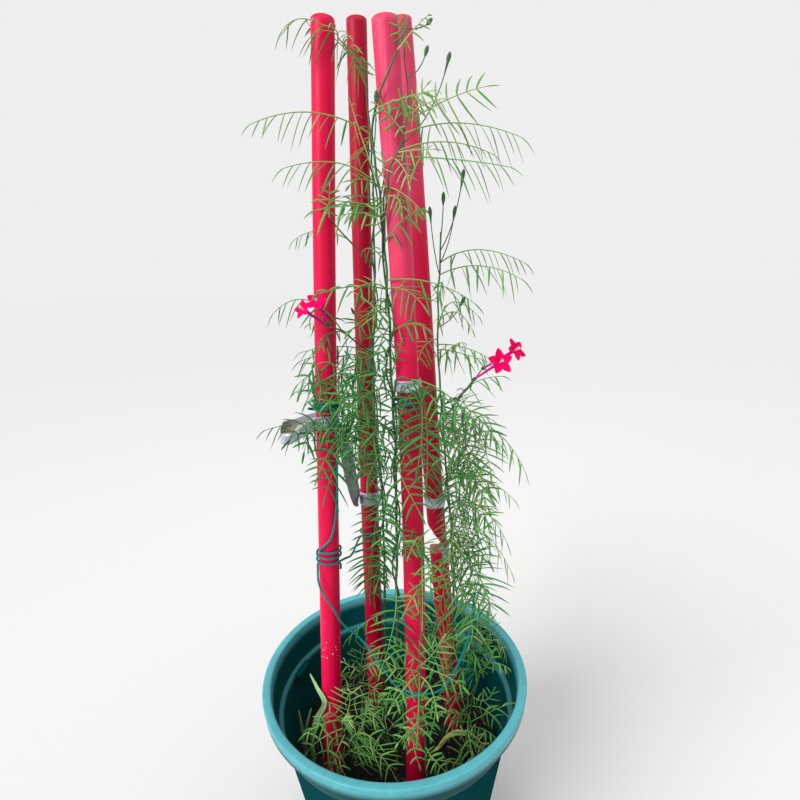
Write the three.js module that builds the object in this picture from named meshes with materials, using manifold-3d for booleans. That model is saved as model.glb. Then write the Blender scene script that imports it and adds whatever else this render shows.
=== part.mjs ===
// A potted cypress vine: a nursery pot of soil, four taped garden stakes and the vine that climbs them.
// Millimetres, +Z up. The origin is the middle of the pot's underside, the front is -Y and +X is the right.
import * as THREE from "three";
import { mergeVertices } from "three/addons/utils/BufferGeometryUtils.js";
import Module from "manifold-3d";

const wasm = await Module();
wasm.setup();

// Driving dimensions.
const potHeight = 260;
const rimRadius = 150;
const rimFace = 10;
const skirtHeight = 15;
const ledgeDepth = 38.5;
const wallThickness = 2.2;
const baseRadius = 94;
const floorThickness = 3;
const drainHoleRadius = 6;
const drainHoleCircle = 62;
const soilTop = 160;
const stakeRadius = 10.5;
const tapeThickness = 1.2;
const wireRadius = 1.3;
const stemRadius = 1.6;
const meshGap = 0.3;
const flowerRadius = 12.5;
const potSides = 48;
const stakeSides = 14;
const breakHeight = 388;
const loopHeight = 554;
const loopWidth = 19;
const loopReach = 46;
const stripHalfWidth = 7;

const vec = (x, y, z) => new THREE.Vector3(x, y, z);
const up = vec(0, 0, 1);
const plantAxis = vec(10, 5, 0);

// Seeded draws between -1 and 1, the same each time the file runs.
let randomState = 20240517;
function jitter() {
  randomState = (Math.imul(randomState, 1664525) + 1013904223) >>> 0;
  return randomState / 2147483648 - 1;
}

// Solids from closed geometry and back.
function toSolid(geometry) {
  const bare = geometry.index ? geometry.toNonIndexed() : geometry.clone();
  bare.deleteAttribute("normal");
  bare.deleteAttribute("uv");
  const merged = mergeVertices(bare, 1e-4);
  return new wasm.Manifold(
    new wasm.Mesh({
      numProp: 3,
      vertProperties: merged.attributes.position.array,
      triVerts: new Uint32Array(merged.index.array),
    }),
  );
}

function toGeometry(solid) {
  const mesh = solid.getMesh();
  const geometry = new THREE.BufferGeometry();
  geometry.setAttribute("position", new THREE.BufferAttribute(mesh.vertProperties, 3));
  geometry.setIndex(new THREE.BufferAttribute(mesh.triVerts, 1));
  return geometry;
}

function meshFrom(corners, faces) {
  const geometry = new THREE.BufferGeometry();
  const flat = corners.flatMap((p) => [p.x, p.y, p.z]);
  geometry.setAttribute("position", new THREE.Float32BufferAttribute(flat, 3));
  geometry.setIndex(faces.flat());
  return geometry;
}

// A closed tube along a curve, with a radius for each point of its length from 0 to 1.
function sweep(curve, steps, sides, radiusAt) {
  const frames = curve.computeFrenetFrames(steps, false);
  const corners = [];
  const faces = [];
  for (let i = 0; i <= steps; i++) {
    const centre = curve.getPointAt(i / steps);
    for (let k = 0; k < sides; k++) {
      const angle = (2 * Math.PI * k) / sides;
      corners.push(
        centre
          .clone()
          .addScaledVector(frames.normals[i], radiusAt(i / steps) * Math.cos(angle))
          .addScaledVector(frames.binormals[i], radiusAt(i / steps) * Math.sin(angle)),
      );
    }
  }
  for (let i = 0; i < steps; i++) {
    for (let k = 0; k < sides; k++) {
      const a = i * sides + k;
      const b = i * sides + ((k + 1) % sides);
      faces.push([a, b, b + sides], [a, b + sides, a + sides]);
    }
  }
  const last = steps * sides;
  for (let k = 1; k < sides - 1; k++) {
    faces.push([0, k + 1, k], [last, last + k, last + k + 1]);
  }
  return meshFrom(corners, faces);
}

const curveThrough = (points) =>
  new THREE.CatmullRomCurve3(points.map(([x, y, z]) => vec(x, y, z)), false, "centripetal");

// A lathed solid about +Z from [radius, height] pairs that start and end on the axis or close on themselves.
function lathe(profile, sides) {
  const geometry = new THREE.LatheGeometry(
    profile.map(([radius, height]) => new THREE.Vector2(radius, height)),
    sides,
  );
  return geometry.rotateX(Math.PI / 2);
}

// Materials, coloured from the photograph.
const material = (color, roughness) => new THREE.MeshStandardMaterial({ color, roughness, metalness: 0 });
const potPlastic = material(0x2c7a78, 0.45);
const soilMatter = material(0x2c2019, 0.95);
const stakeRed = material(0xdc1440, 0.4);
const tapeGrey = material(0x9696a5, 0.35);
const wireGreen = material(0x0a786e, 0.4);
const leafGreen = material(0x46964f, 0.6);
const petalPink = material(0xff005a, 0.5);
const grassGreen = material(0x86b878, 0.6);
const yellowLeaf = material(0xa8b45a, 0.7);

const plant = new THREE.Group();
function addNode(name, solid, look) {
  const mesh = new THREE.Mesh(toGeometry(solid), look);
  mesh.name = name;
  plant.add(mesh);
}

// The pot: floor, tapered wall, a ledge for stacking, a collar above it and the turned-down rim.
const ledgeHeight = potHeight - ledgeDepth;
const collarRadius = rimRadius - rimFace;
const ledgeRadius = 133.8;
const wallTopRadius = 131.5;
const wallSlope = (wallTopRadius - baseRadius) / ledgeHeight;
const innerWallAt = (height) => baseRadius + wallSlope * height - wallThickness;

const rimLip = 2.5;
const drainHoles = 8;
const lugHeadings = [-20, 70, 160, 250];
const lugDepth = 8;
const lugWidth = 26;

function makePot() {
  const rimUnder = potHeight - rimLip;
  const profile = [
    [0, 0],
    [baseRadius - 3, 0],
    [baseRadius, 3],
    [wallTopRadius, ledgeHeight - 3],
    [ledgeRadius + wallThickness, ledgeHeight],
    [collarRadius + wallThickness, rimUnder],
    [rimRadius - 2.4, rimUnder],
    [rimRadius - 4.8, potHeight - skirtHeight],
    [rimRadius - 2.6, potHeight - skirtHeight],
    [rimRadius, potHeight - 2],
    [rimRadius - 1.2, potHeight - 0.4],
    [rimRadius - 3, potHeight],
    [collarRadius + 1.2, potHeight],
    [collarRadius, potHeight - 1],
    [ledgeRadius, ledgeHeight + 0.6],
    [innerWallAt(ledgeHeight), ledgeHeight],
    [innerWallAt(floorThickness), floorThickness],
    [0, floorThickness],
  ];
  let pot = toSolid(lathe(profile, potSides));
  for (let i = 0; i < drainHoles; i++) {
    const angle = (2 * Math.PI * (i + 0.5)) / drainHoles;
    const hole = new THREE.CylinderGeometry(drainHoleRadius, drainHoleRadius, 4 * floorThickness, 12);
    hole.rotateX(Math.PI / 2);
    hole.translate(drainHoleCircle * Math.cos(angle), drainHoleCircle * Math.sin(angle), 0);
    pot = pot.subtract(toSolid(hole));
  }
  for (const heading of lugHeadings) {
    const lug = new THREE.BoxGeometry(lugDepth, lugWidth, lugDepth);
    lug.translate(innerWallAt(ledgeHeight) + 0.1 - lugDepth / 2, 0, ledgeHeight - lugDepth / 2);
    lug.rotateZ(THREE.MathUtils.degToRad(heading));
    pot = pot.add(toSolid(lug));
  }
  return pot;
}

// The stakes: axis points from the buried foot to the top.
const stakeAxes = {
  stake_left: [
    [-75, -51, 75],
    [-72, -45, 160],
    [-52, -12, 677],
    [-40, 0, 915],
  ],
  stake_back: [
    [-28, 45, 30],
    [-27, 52, 157],
    [-22, 65, 596],
    [-15, 80, 950],
  ],
  stake_front: [
    [16, -80, 45],
    [20, -72, 165],
    [25, -50, 493],
    [21, -40, 719],
    [14, -35, 898],
  ],
  stake_right: [
    [76, 4, 30],
    [71, 12, 148],
    [52, 40, 453],
    [41, 55, 724],
    [29, 60, 940],
  ],
};
const stakeCurves = Object.fromEntries(
  Object.entries(stakeAxes).map(([name, points]) => [name, curveThrough(points)]),
);

// The point of a stake's axis at a height, between the rings that its rod is swept through.
const stakeSteps = 9;
const stakeRings = new Map(
  Object.values(stakeCurves).map((curve) => [curve, curve.getSpacedPoints(stakeSteps)]),
);
function axisAt(curve, height) {
  const rings = stakeRings.get(curve);
  const next = rings.findIndex((ring) => ring.z > height);
  const high = Math.max(1, next < 0 ? rings.length - 1 : next);
  const share = (height - rings[high - 1].z) / (rings[high].z - rings[high - 1].z);
  return rings[high - 1].clone().lerp(rings[high], share);
}

const stakeRod = (curve, radius) => sweep(curve, stakeSteps, stakeSides, () => radius);

function makeStake(name) {
  let stake = toSolid(stakeRod(stakeCurves[name], stakeRadius));
  if (name === "stake_right") {
    // The old break: a wedge out of the left side, with a bridge left at the right.
    const outside = -1.5 * stakeRadius;
    const bridge = 0.43 * stakeRadius;
    const notch = new THREE.Shape([
      new THREE.Vector2(outside, 0),
      new THREE.Vector2(bridge, 0),
      new THREE.Vector2(bridge, 8),
      new THREE.Vector2(outside, 36),
    ]);
    const wedge = new THREE.ExtrudeGeometry(notch, { depth: 4 * stakeRadius, bevelEnabled: false });
    wedge.translate(0, 0, -2 * stakeRadius);
    wedge.rotateX(Math.PI / 2);
    const seat = axisAt(stakeCurves[name], breakHeight);
    wedge.translate(seat.x, seat.y, seat.z);
    stake = stake.subtract(toSolid(wedge));
  }
  return stake;
}

// The soil fills the pot, a little higher in the middle, with a plain hole for each stake and stem.
const soilCrown = 4;
const soilEdge = innerWallAt(soilTop) - meshGap;
const soilHeightAt = (x, y) => soilTop + soilCrown * (1 - Math.hypot(x, y) / soilEdge);

const stakeHoleRadius = stakeRadius + 0.5;
const stemHoleRadius = stemRadius + 1;
const stemHoleDepth = 40;
function makeSoil(stems) {
  const floor = floorThickness + meshGap;
  const profile = [
    [0, floor],
    [innerWallAt(floor) - meshGap, floor],
    [soilEdge, soilTop],
    [0, soilTop + soilCrown],
  ];
  let soil = toSolid(lathe(profile, 36));
  for (const curve of Object.values(stakeCurves)) {
    soil = soil.subtract(toSolid(stakeRod(curve, stakeHoleRadius)));
  }
  for (const [foot, next] of stems) {
    const from = vec(...foot);
    const toward = vec(...next).sub(from).normalize();
    const line = new THREE.LineCurve3(
      from.clone().addScaledVector(toward, -3),
      from.clone().addScaledVector(toward, stemHoleDepth),
    );
    soil = soil.subtract(toSolid(sweep(line, 1, 6, () => stemHoleRadius)));
  }
  return soil;
}

// Tape bands are short rings square to their stake.
const bandBore = stakeRadius + 0.4;
const bands = {
  tape_front: { stake: "stake_front", height: 599, width: 11, layers: 1.5 },
  tape_back: { stake: "stake_back", height: 444, width: 16, layers: 1.5 },
  tape_right: { stake: "stake_right", height: 446, width: 12, layers: 1.5 },
};
const patchBand = { stake: "stake_right", height: breakHeight - 3, width: 16, layers: 1 };

function makeBand({ stake, height, width, layers }) {
  const outer = bandBore + tapeThickness * layers;
  const band = lathe(
    [
      [bandBore, -width / 2],
      [outer, -width / 2],
      [outer, width / 2],
      [bandBore, width / 2],
      [bandBore, -width / 2],
    ],
    18,
  );
  const curve = stakeCurves[stake];
  const lean = axisAt(curve, height + 20).sub(axisAt(curve, height - 20)).normalize();
  band.applyQuaternion(new THREE.Quaternion().setFromUnitVectors(up, lean));
  const seat = axisAt(curve, height);
  band.translate(seat.x, seat.y, seat.z);
  return toSolid(band);
}

// The patch over the break hugs only the right side of the stake.
function makePatch() {
  const patch = makeBand(patchBand);
  const side = 4 * stakeRadius;
  const keep = new THREE.BoxGeometry(side, side, side);
  const seat = axisAt(stakeCurves.stake_right, breakHeight);
  keep.translate(seat.x + side / 2 + 4, seat.y, seat.z);
  return patch.intersect(toSolid(keep));
}

// The loose loop of tape: a drop-shaped outline that hugs the left stake and bulges out to the left.
const loopEnd = 14;
function dropOutline(offset) {
  const radius = bandBore + 0.3 + offset;
  const points = [];
  for (let i = -5; i <= 5; i++) {
    const angle = THREE.MathUtils.degToRad(20 * i);
    points.push(new THREE.Vector2(radius * Math.cos(angle), radius * Math.sin(angle)));
  }
  const bulge = loopEnd + offset;
  const middle = loopEnd - loopReach;
  for (let i = 0; i <= 8; i++) {
    const angle = THREE.MathUtils.degToRad(90 + 22.5 * i);
    points.push(new THREE.Vector2(middle + bulge * Math.cos(angle), bulge * Math.sin(angle)));
  }
  return points;
}

function makeLoop() {
  const outline = new THREE.Shape(dropOutline(tapeThickness));
  outline.holes.push(new THREE.Path(dropOutline(0)));
  const loop = new THREE.ExtrudeGeometry(outline, { depth: loopWidth, bevelEnabled: false });
  loop.translate(0, 0, -loopWidth / 2);
  const curve = stakeCurves.stake_left;
  const lean = axisAt(curve, loopHeight + 20).sub(axisAt(curve, loopHeight - 20)).normalize();
  loop.applyQuaternion(new THREE.Quaternion().setFromUnitVectors(up, lean));
  const seat = axisAt(curve, loopHeight);
  loop.translate(seat.x, seat.y, seat.z);
  return toSolid(loop);
}

// The strip of tape that runs from the loop, behind the left stake, to the band on the back stake.
function makeStrip() {
  const half = tapeThickness / 2;
  const face = new THREE.Shape([
    new THREE.Vector2(-half, -stripHalfWidth),
    new THREE.Vector2(half, -stripHalfWidth),
    new THREE.Vector2(half, stripHalfWidth),
    new THREE.Vector2(-half, stripHalfWidth),
  ]);
  const route = curveThrough([
    [-44.3, -13, 549],
    [-43, -1, 531],
    [-42, 13, 505],
    [-39.5, 30, 470],
    [-37.7, 44, 447],
    [-37.4, 56, 441],
  ]);
  return toSolid(new THREE.ExtrudeGeometry(face, { extrudePath: route, steps: 9 }));
}

// Turns of wire round a stake from one height to another, as points of a wire's route.
const wireOrbit = stakeRadius + wireRadius + 1;
const pastLoop = wireOrbit + 1.6;
const pointsPerTurn = 10;
function besideStake(stake, height, heading, orbit = wireOrbit) {
  const angle = THREE.MathUtils.degToRad(heading);
  const seat = axisAt(stakeCurves[stake], height);
  return [seat.x + orbit * Math.cos(angle), seat.y + orbit * Math.sin(angle), height];
}

function turnsRound(stake, from, to, turns, startHeading) {
  const count = Math.round(turns * pointsPerTurn);
  return Array.from({ length: count + 1 }, (_, i) =>
    besideStake(stake, from + ((to - from) * i) / count, startHeading + (360 * i) / pointsPerTurn),
  );
}

// A wire's rings sit on the points of its route, however far apart they are.
class RoutedCurve extends THREE.CatmullRomCurve3 {
  getUtoTmapping(share) {
    return share;
  }
}

function makeWire(points) {
  const route = new RoutedCurve(points.map((point) => vec(...point)), false, "centripetal");
  return toSolid(sweep(route, points.length - 1, 5, () => wireRadius));
}

const wires = {
  // Tie above the loop, down the left stake's right side to two turns, and on to a turn round the back stake.
  wire_left: [
    [-71, -34, 577],
    ...turnsRound("stake_left", 575, 580, 1.2, 220),
    besideStake("stake_left", 572, 300, pastLoop),
    besideStake("stake_left", 556, 325, pastLoop),
    besideStake("stake_left", 541, 330, pastLoop),
    besideStake("stake_left", 520, 330),
    besideStake("stake_left", 490, 325),
    besideStake("stake_left", 460, 310),
    besideStake("stake_left", 442, 285),
    besideStake("stake_left", 435, 255),
    ...turnsRound("stake_left", 428, 415, 2.2, 230),
    [-47, -28, 414],
    [-42, -14, 409],
    [-40, 4, 405],
    [-39, 22, 402],
    [-38, 38, 399],
    ...turnsRound("stake_back", 397, 402, 1.3, 215),
    [-8, 62, 404],
  ],
  // The slack run from the left stake to a turn round the front stake and on to the right.
  wire_low: [
    ...turnsRound("stake_left", 405, 409, 0.6, -10),
    [-72, -45, 398],
    [-66, -50, 386],
    [-58, -51, 372],
    [-50, -48, 352],
    [-36, -46, 336],
    [-22, -50, 320],
    [-10, -58, 306],
    [2, -68, 294],
    ...turnsRound("stake_front", 286, 291, 1.2, 200).slice(1),
    [44, -76, 292],
    [60, -68, 304],
    [74, -56, 324],
    [84, -44, 350],
    [87, -34, 374],
  ],
  wire_front: turnsRound("stake_front", 582, 587, 1.2, 190),
};

// Distance that leaves and lobes keep from a stake's axis, so that they pass in front of it or round it.
const keepClear = stakeRadius + 3.2;
const axes = Object.values(stakeCurves);

function bendClear(point) {
  for (const curve of axes) {
    const seat = axisAt(curve, point.z);
    const away = vec(point.x - seat.x, point.y - seat.y, 0);
    const distance = away.length();
    if (distance < keepClear) point.addScaledVector(away.normalize(), keepClear - distance);
  }
  return point;
}

// Moves a straight lobe's tip until the whole lobe clears every stake.
function bendLobe(root, tip) {
  for (const curve of axes) {
    for (let i = 0; i < 6; i++) {
      for (const share of [0.35, 0.65, 1]) {
        const point = root.clone().lerp(tip, share);
        const seat = axisAt(curve, point.z);
        const away = vec(point.x - seat.x, point.y - seat.y, 0);
        const short = keepClear - away.length();
        if (short > 0) tip.addScaledVector(away.normalize(), short / share);
      }
    }
  }
  return tip;
}

// The four corners of a flat rib or blade at one of its stations.
const ribRing = (centre, side, over, half, thick) =>
  [[half, thick], [-half, thick], [-half, -thick], [half, -thick]].map(([across, height]) =>
    centre.clone().addScaledVector(side, across).addScaledVector(over, height),
  );

// A feathery leaf: a thin rib with pairs of thread-like lobes, as one closed mesh.
// fold turns the lobes down from the blade's plane in degrees; facing is the heading of the blade's face.
const sky = "sky";
const petioleShare = 0.14;
const lobedShare = 0.9;
const lobeRoot = 1.7;
const pairSpacing = 15;
const mostPairs = 7;
const ribArch = 0.3;
const ribThickness = 1;
const lobeReach = (leafLength) => Math.min(24, 7 + 0.2 * leafLength);
const lobeTaper = (along) => 0.62 + 0.9 * along - 1.25 * along * along;
function leafGeometry(base, tip, fold, facing) {
  const length = base.distanceTo(tip);
  const middle = base.clone().add(tip).multiplyScalar(0.5);
  const outward = vec(middle.x - plantAxis.x, middle.y - plantAxis.y, 0).normalize();
  if (typeof facing === "number") {
    outward.set(1, 0, 0).applyAxisAngle(up, THREE.MathUtils.degToRad(facing));
  }
  const level = 1 - Math.abs(tip.z - base.z) / length;
  const crown = middle.clone().addScaledVector(up, length * ribArch * level).addScaledVector(outward, 4);
  const rib = new THREE.QuadraticBezierCurve3(base, crown, tip);
  const foldAngle = THREE.MathUtils.degToRad(fold);
  const face = outward.multiplyScalar(Math.cos(foldAngle)).addScaledVector(up, Math.sin(foldAngle) + 0.1);
  if (facing === sky) face.copy(up);
  const pairs = THREE.MathUtils.clamp(Math.round(length / pairSpacing), 3, mostPairs);

  const stations = [0];
  for (let i = 0; i < pairs; i++) {
    const share = petioleShare + ((lobedShare - petioleShare) * (i + 0.5)) / pairs;
    stations.push(share - lobeRoot / 2 / length, share + lobeRoot / 2 / length);
  }
  const corners = [];
  const faces = [];
  const frames = stations.map((share) => {
    const centre = bendClear(rib.getPointAt(share));
    const ahead = rib.getTangentAt(share);
    const side = ahead.clone().cross(face).normalize();
    const over = side.clone().cross(ahead).normalize();
    return { share, centre, ahead, side, over };
  });
  for (const { share, centre, side, over } of frames) {
    const half = 0.75 - 0.25 * share;
    corners.push(...ribRing(centre, side, over, half, ribThickness / 2));
  }
  faces.push([0, 1, 2], [0, 2, 3]);
  for (let k = 0; k + 1 < frames.length; k++) {
    const a = 4 * k;
    const b = a + 4;
    faces.push([a, b, b + 1], [a, b + 1, a + 1], [a + 2, b + 2, b + 3], [a + 2, b + 3, a + 3]);
    const lobed = k % 2 === 1;
    for (const [low, high, hand] of [[a + 1, a + 2, -1], [a + 3, a, 1]]) {
      const ring = [low, low + 4, high + 4, high];
      if (!lobed) {
        faces.push([ring[0], ring[1], ring[2]], [ring[0], ring[2], ring[3]]);
        continue;
      }
      const { share, centre, ahead, side, over } = frames[k];
      const along = (share - petioleShare) / (1 - petioleShare);
      const reach = lobeReach(length) * lobeTaper(along) * (1 + 0.12 * jitter());
      const lean = THREE.MathUtils.degToRad(66 - 26 * along + 6 * jitter());
      const drop = foldAngle * (0.75 + 0.25 * jitter());
      const lobeTip = centre
        .clone()
        .addScaledVector(ahead, reach * Math.cos(lean))
        .addScaledVector(side, hand * reach * Math.sin(lean) * Math.cos(drop))
        .addScaledVector(over, -reach * Math.sin(lean) * Math.sin(drop));
      corners.push(bendLobe(centre, lobeTip));
      const apex = corners.length - 1;
      for (let i = 0; i < 4; i++) faces.push([ring[i], ring[(i + 1) % 4], apex]);
    }
  }
  const end = 4 * (frames.length - 1);
  const lastTip = bendLobe(frames.at(-1).centre, rib.getPointAt(1));
  corners.push(lastTip);
  const apex = corners.length - 1;
  for (let i = 0; i < 4; i++) faces.push([end + i, apex, end + ((i + 1) % 4)]);
  return { corners, faces };
}

// A bud: a small spindle on its stalk's end.
const budRadius = 1.9;
const budHalfLength = 4.6;
const stalkRadius = 0.7;
function makeBud(end, heading) {
  const bud = new THREE.SphereGeometry(1, 5, 3);
  bud.scale(budRadius, budRadius, budHalfLength);
  bud.rotateX(Math.PI / 2);
  bud.applyQuaternion(new THREE.Quaternion().setFromUnitVectors(up, heading));
  bud.translate(end.x, end.y, end.z);
  return toSolid(bud);
}

// A stem's rings, and the point between them at a share of its length, where a leaf can root in its middle.
const stemStep = 34;
const shootRadius = 1.1;
function layStem(points) {
  const curve = curveThrough(points);
  const steps = Math.max(3, Math.round(curve.getLength() / stemStep));
  return { curve, steps, rings: curve.getSpacedPoints(steps) };
}

function pointOn({ rings, steps }, share) {
  const ring = Math.min(steps - 1, Math.floor(share * steps));
  return rings[ring].clone().lerp(rings[ring + 1], share * steps - ring);
}

// A vine: its main stem and side shoots, leaves rooted in them and stalks with buds, joined into one body.
// A shoot is [share of the main stem, points]. A leaf is [stem, share, tip x, tip y, tip z, fold, facing] and
// a bud [stem, share, x, y, z], with the main stem as 0 and the shoots from 1.
function makeVine({ stem, shoots = [], leaves, buds = [] }) {
  const main = layStem(stem);
  const sideStems = shoots.map(([share, points]) => layStem([pointOn(main, share).toArray(), ...points]));
  const stems = [main, ...sideStems];
  const pieces = stems.map(({ curve, steps }, i) => {
    const thick = i === 0 ? stemRadius : shootRadius;
    return toSolid(sweep(curve, steps, 5, (share) => thick * (1 - 0.35 * share)));
  });
  for (const [place, share, x, y, z, fold = 50, facing] of leaves) {
    const { corners, faces } = leafGeometry(pointOn(stems[place], share), vec(x, y, z), fold, facing);
    pieces.push(toSolid(meshFrom(corners, faces)));
  }
  for (const [place, share, x, y, z] of buds) {
    const root = pointOn(stems[place], share);
    const end = vec(x, y, z);
    const belly = root.clone().lerp(end, 0.5).addScaledVector(up, -0.12 * root.distanceTo(end));
    const curve = new THREE.QuadraticBezierCurve3(root, belly, end);
    pieces.push(toSolid(sweep(curve, 3, 4, () => stalkRadius)));
    pieces.push(makeBud(end, curve.getTangent(1)));
  }
  return pieces.reduce((whole, piece) => whole.add(piece));
}

// A star flower: five pointed lobes at the mouth of a slender tube, from the calyx to the star's middle.
const starThickness = 1;
const starWaist = 0.44;
const tubeRadiusAt = (share) => 1.1 + 1.1 * share;
function makeFlower(calyx, mouth) {
  const from = vec(...calyx);
  const to = vec(...mouth);
  const axis = to.clone().sub(from).normalize();
  const points = Array.from({ length: 10 }, (_, i) => {
    const radius = i % 2 ? starWaist * flowerRadius : flowerRadius;
    const angle = THREE.MathUtils.degToRad(90 + 36 * i);
    return new THREE.Vector2(radius * Math.cos(angle), radius * Math.sin(angle));
  });
  const outline = new THREE.Shape(points);
  const star = new THREE.ExtrudeGeometry(outline, { depth: starThickness, bevelEnabled: false });
  star.applyQuaternion(new THREE.Quaternion().setFromUnitVectors(up, axis));
  star.translate(to.x, to.y, to.z);
  const tubeLine = new THREE.LineCurve3(from, to.clone().addScaledVector(axis, starThickness / 2));
  return toSolid(star).add(toSolid(sweep(tubeLine, 3, 6, tubeRadiusAt)));
}

// A flat grass-like blade along points, widest in the middle, its face turned to a heading.
const bladeThickness = 0.8;
const stalkHalf = 0.7;
function makeBlade(points, widest, heading) {
  const curve = curveThrough(points);
  const steps = 7;
  const face = vec(1, 0, 0).applyAxisAngle(up, THREE.MathUtils.degToRad(heading)).addScaledVector(up, 0.3);
  const corners = [];
  const faces = [];
  for (let i = 0; i <= steps; i++) {
    const centre = curve.getPointAt(i / steps);
    const ahead = curve.getTangentAt(i / steps);
    const side = ahead.clone().cross(face).normalize();
    const over = side.clone().cross(ahead).normalize();
    const half = stalkHalf + (widest / 2) * Math.sin((Math.PI * Math.max(0, i - 0.8)) / steps);
    corners.push(...ribRing(centre, side, over, half, bladeThickness / 2));
  }
  for (let i = 0; i < steps; i++) {
    for (let k = 0; k < 4; k++) {
      const a = 4 * i + k;
      const b = 4 * i + ((k + 1) % 4);
      faces.push([a, a + 4, b + 4], [a, b + 4, b]);
    }
  }
  const last = 4 * steps;
  faces.push([0, 1, 2], [0, 2, 3], [last, last + 2, last + 1], [last, last + 3, last + 2]);
  return toSolid(meshFrom(corners, faces));
}

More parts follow.
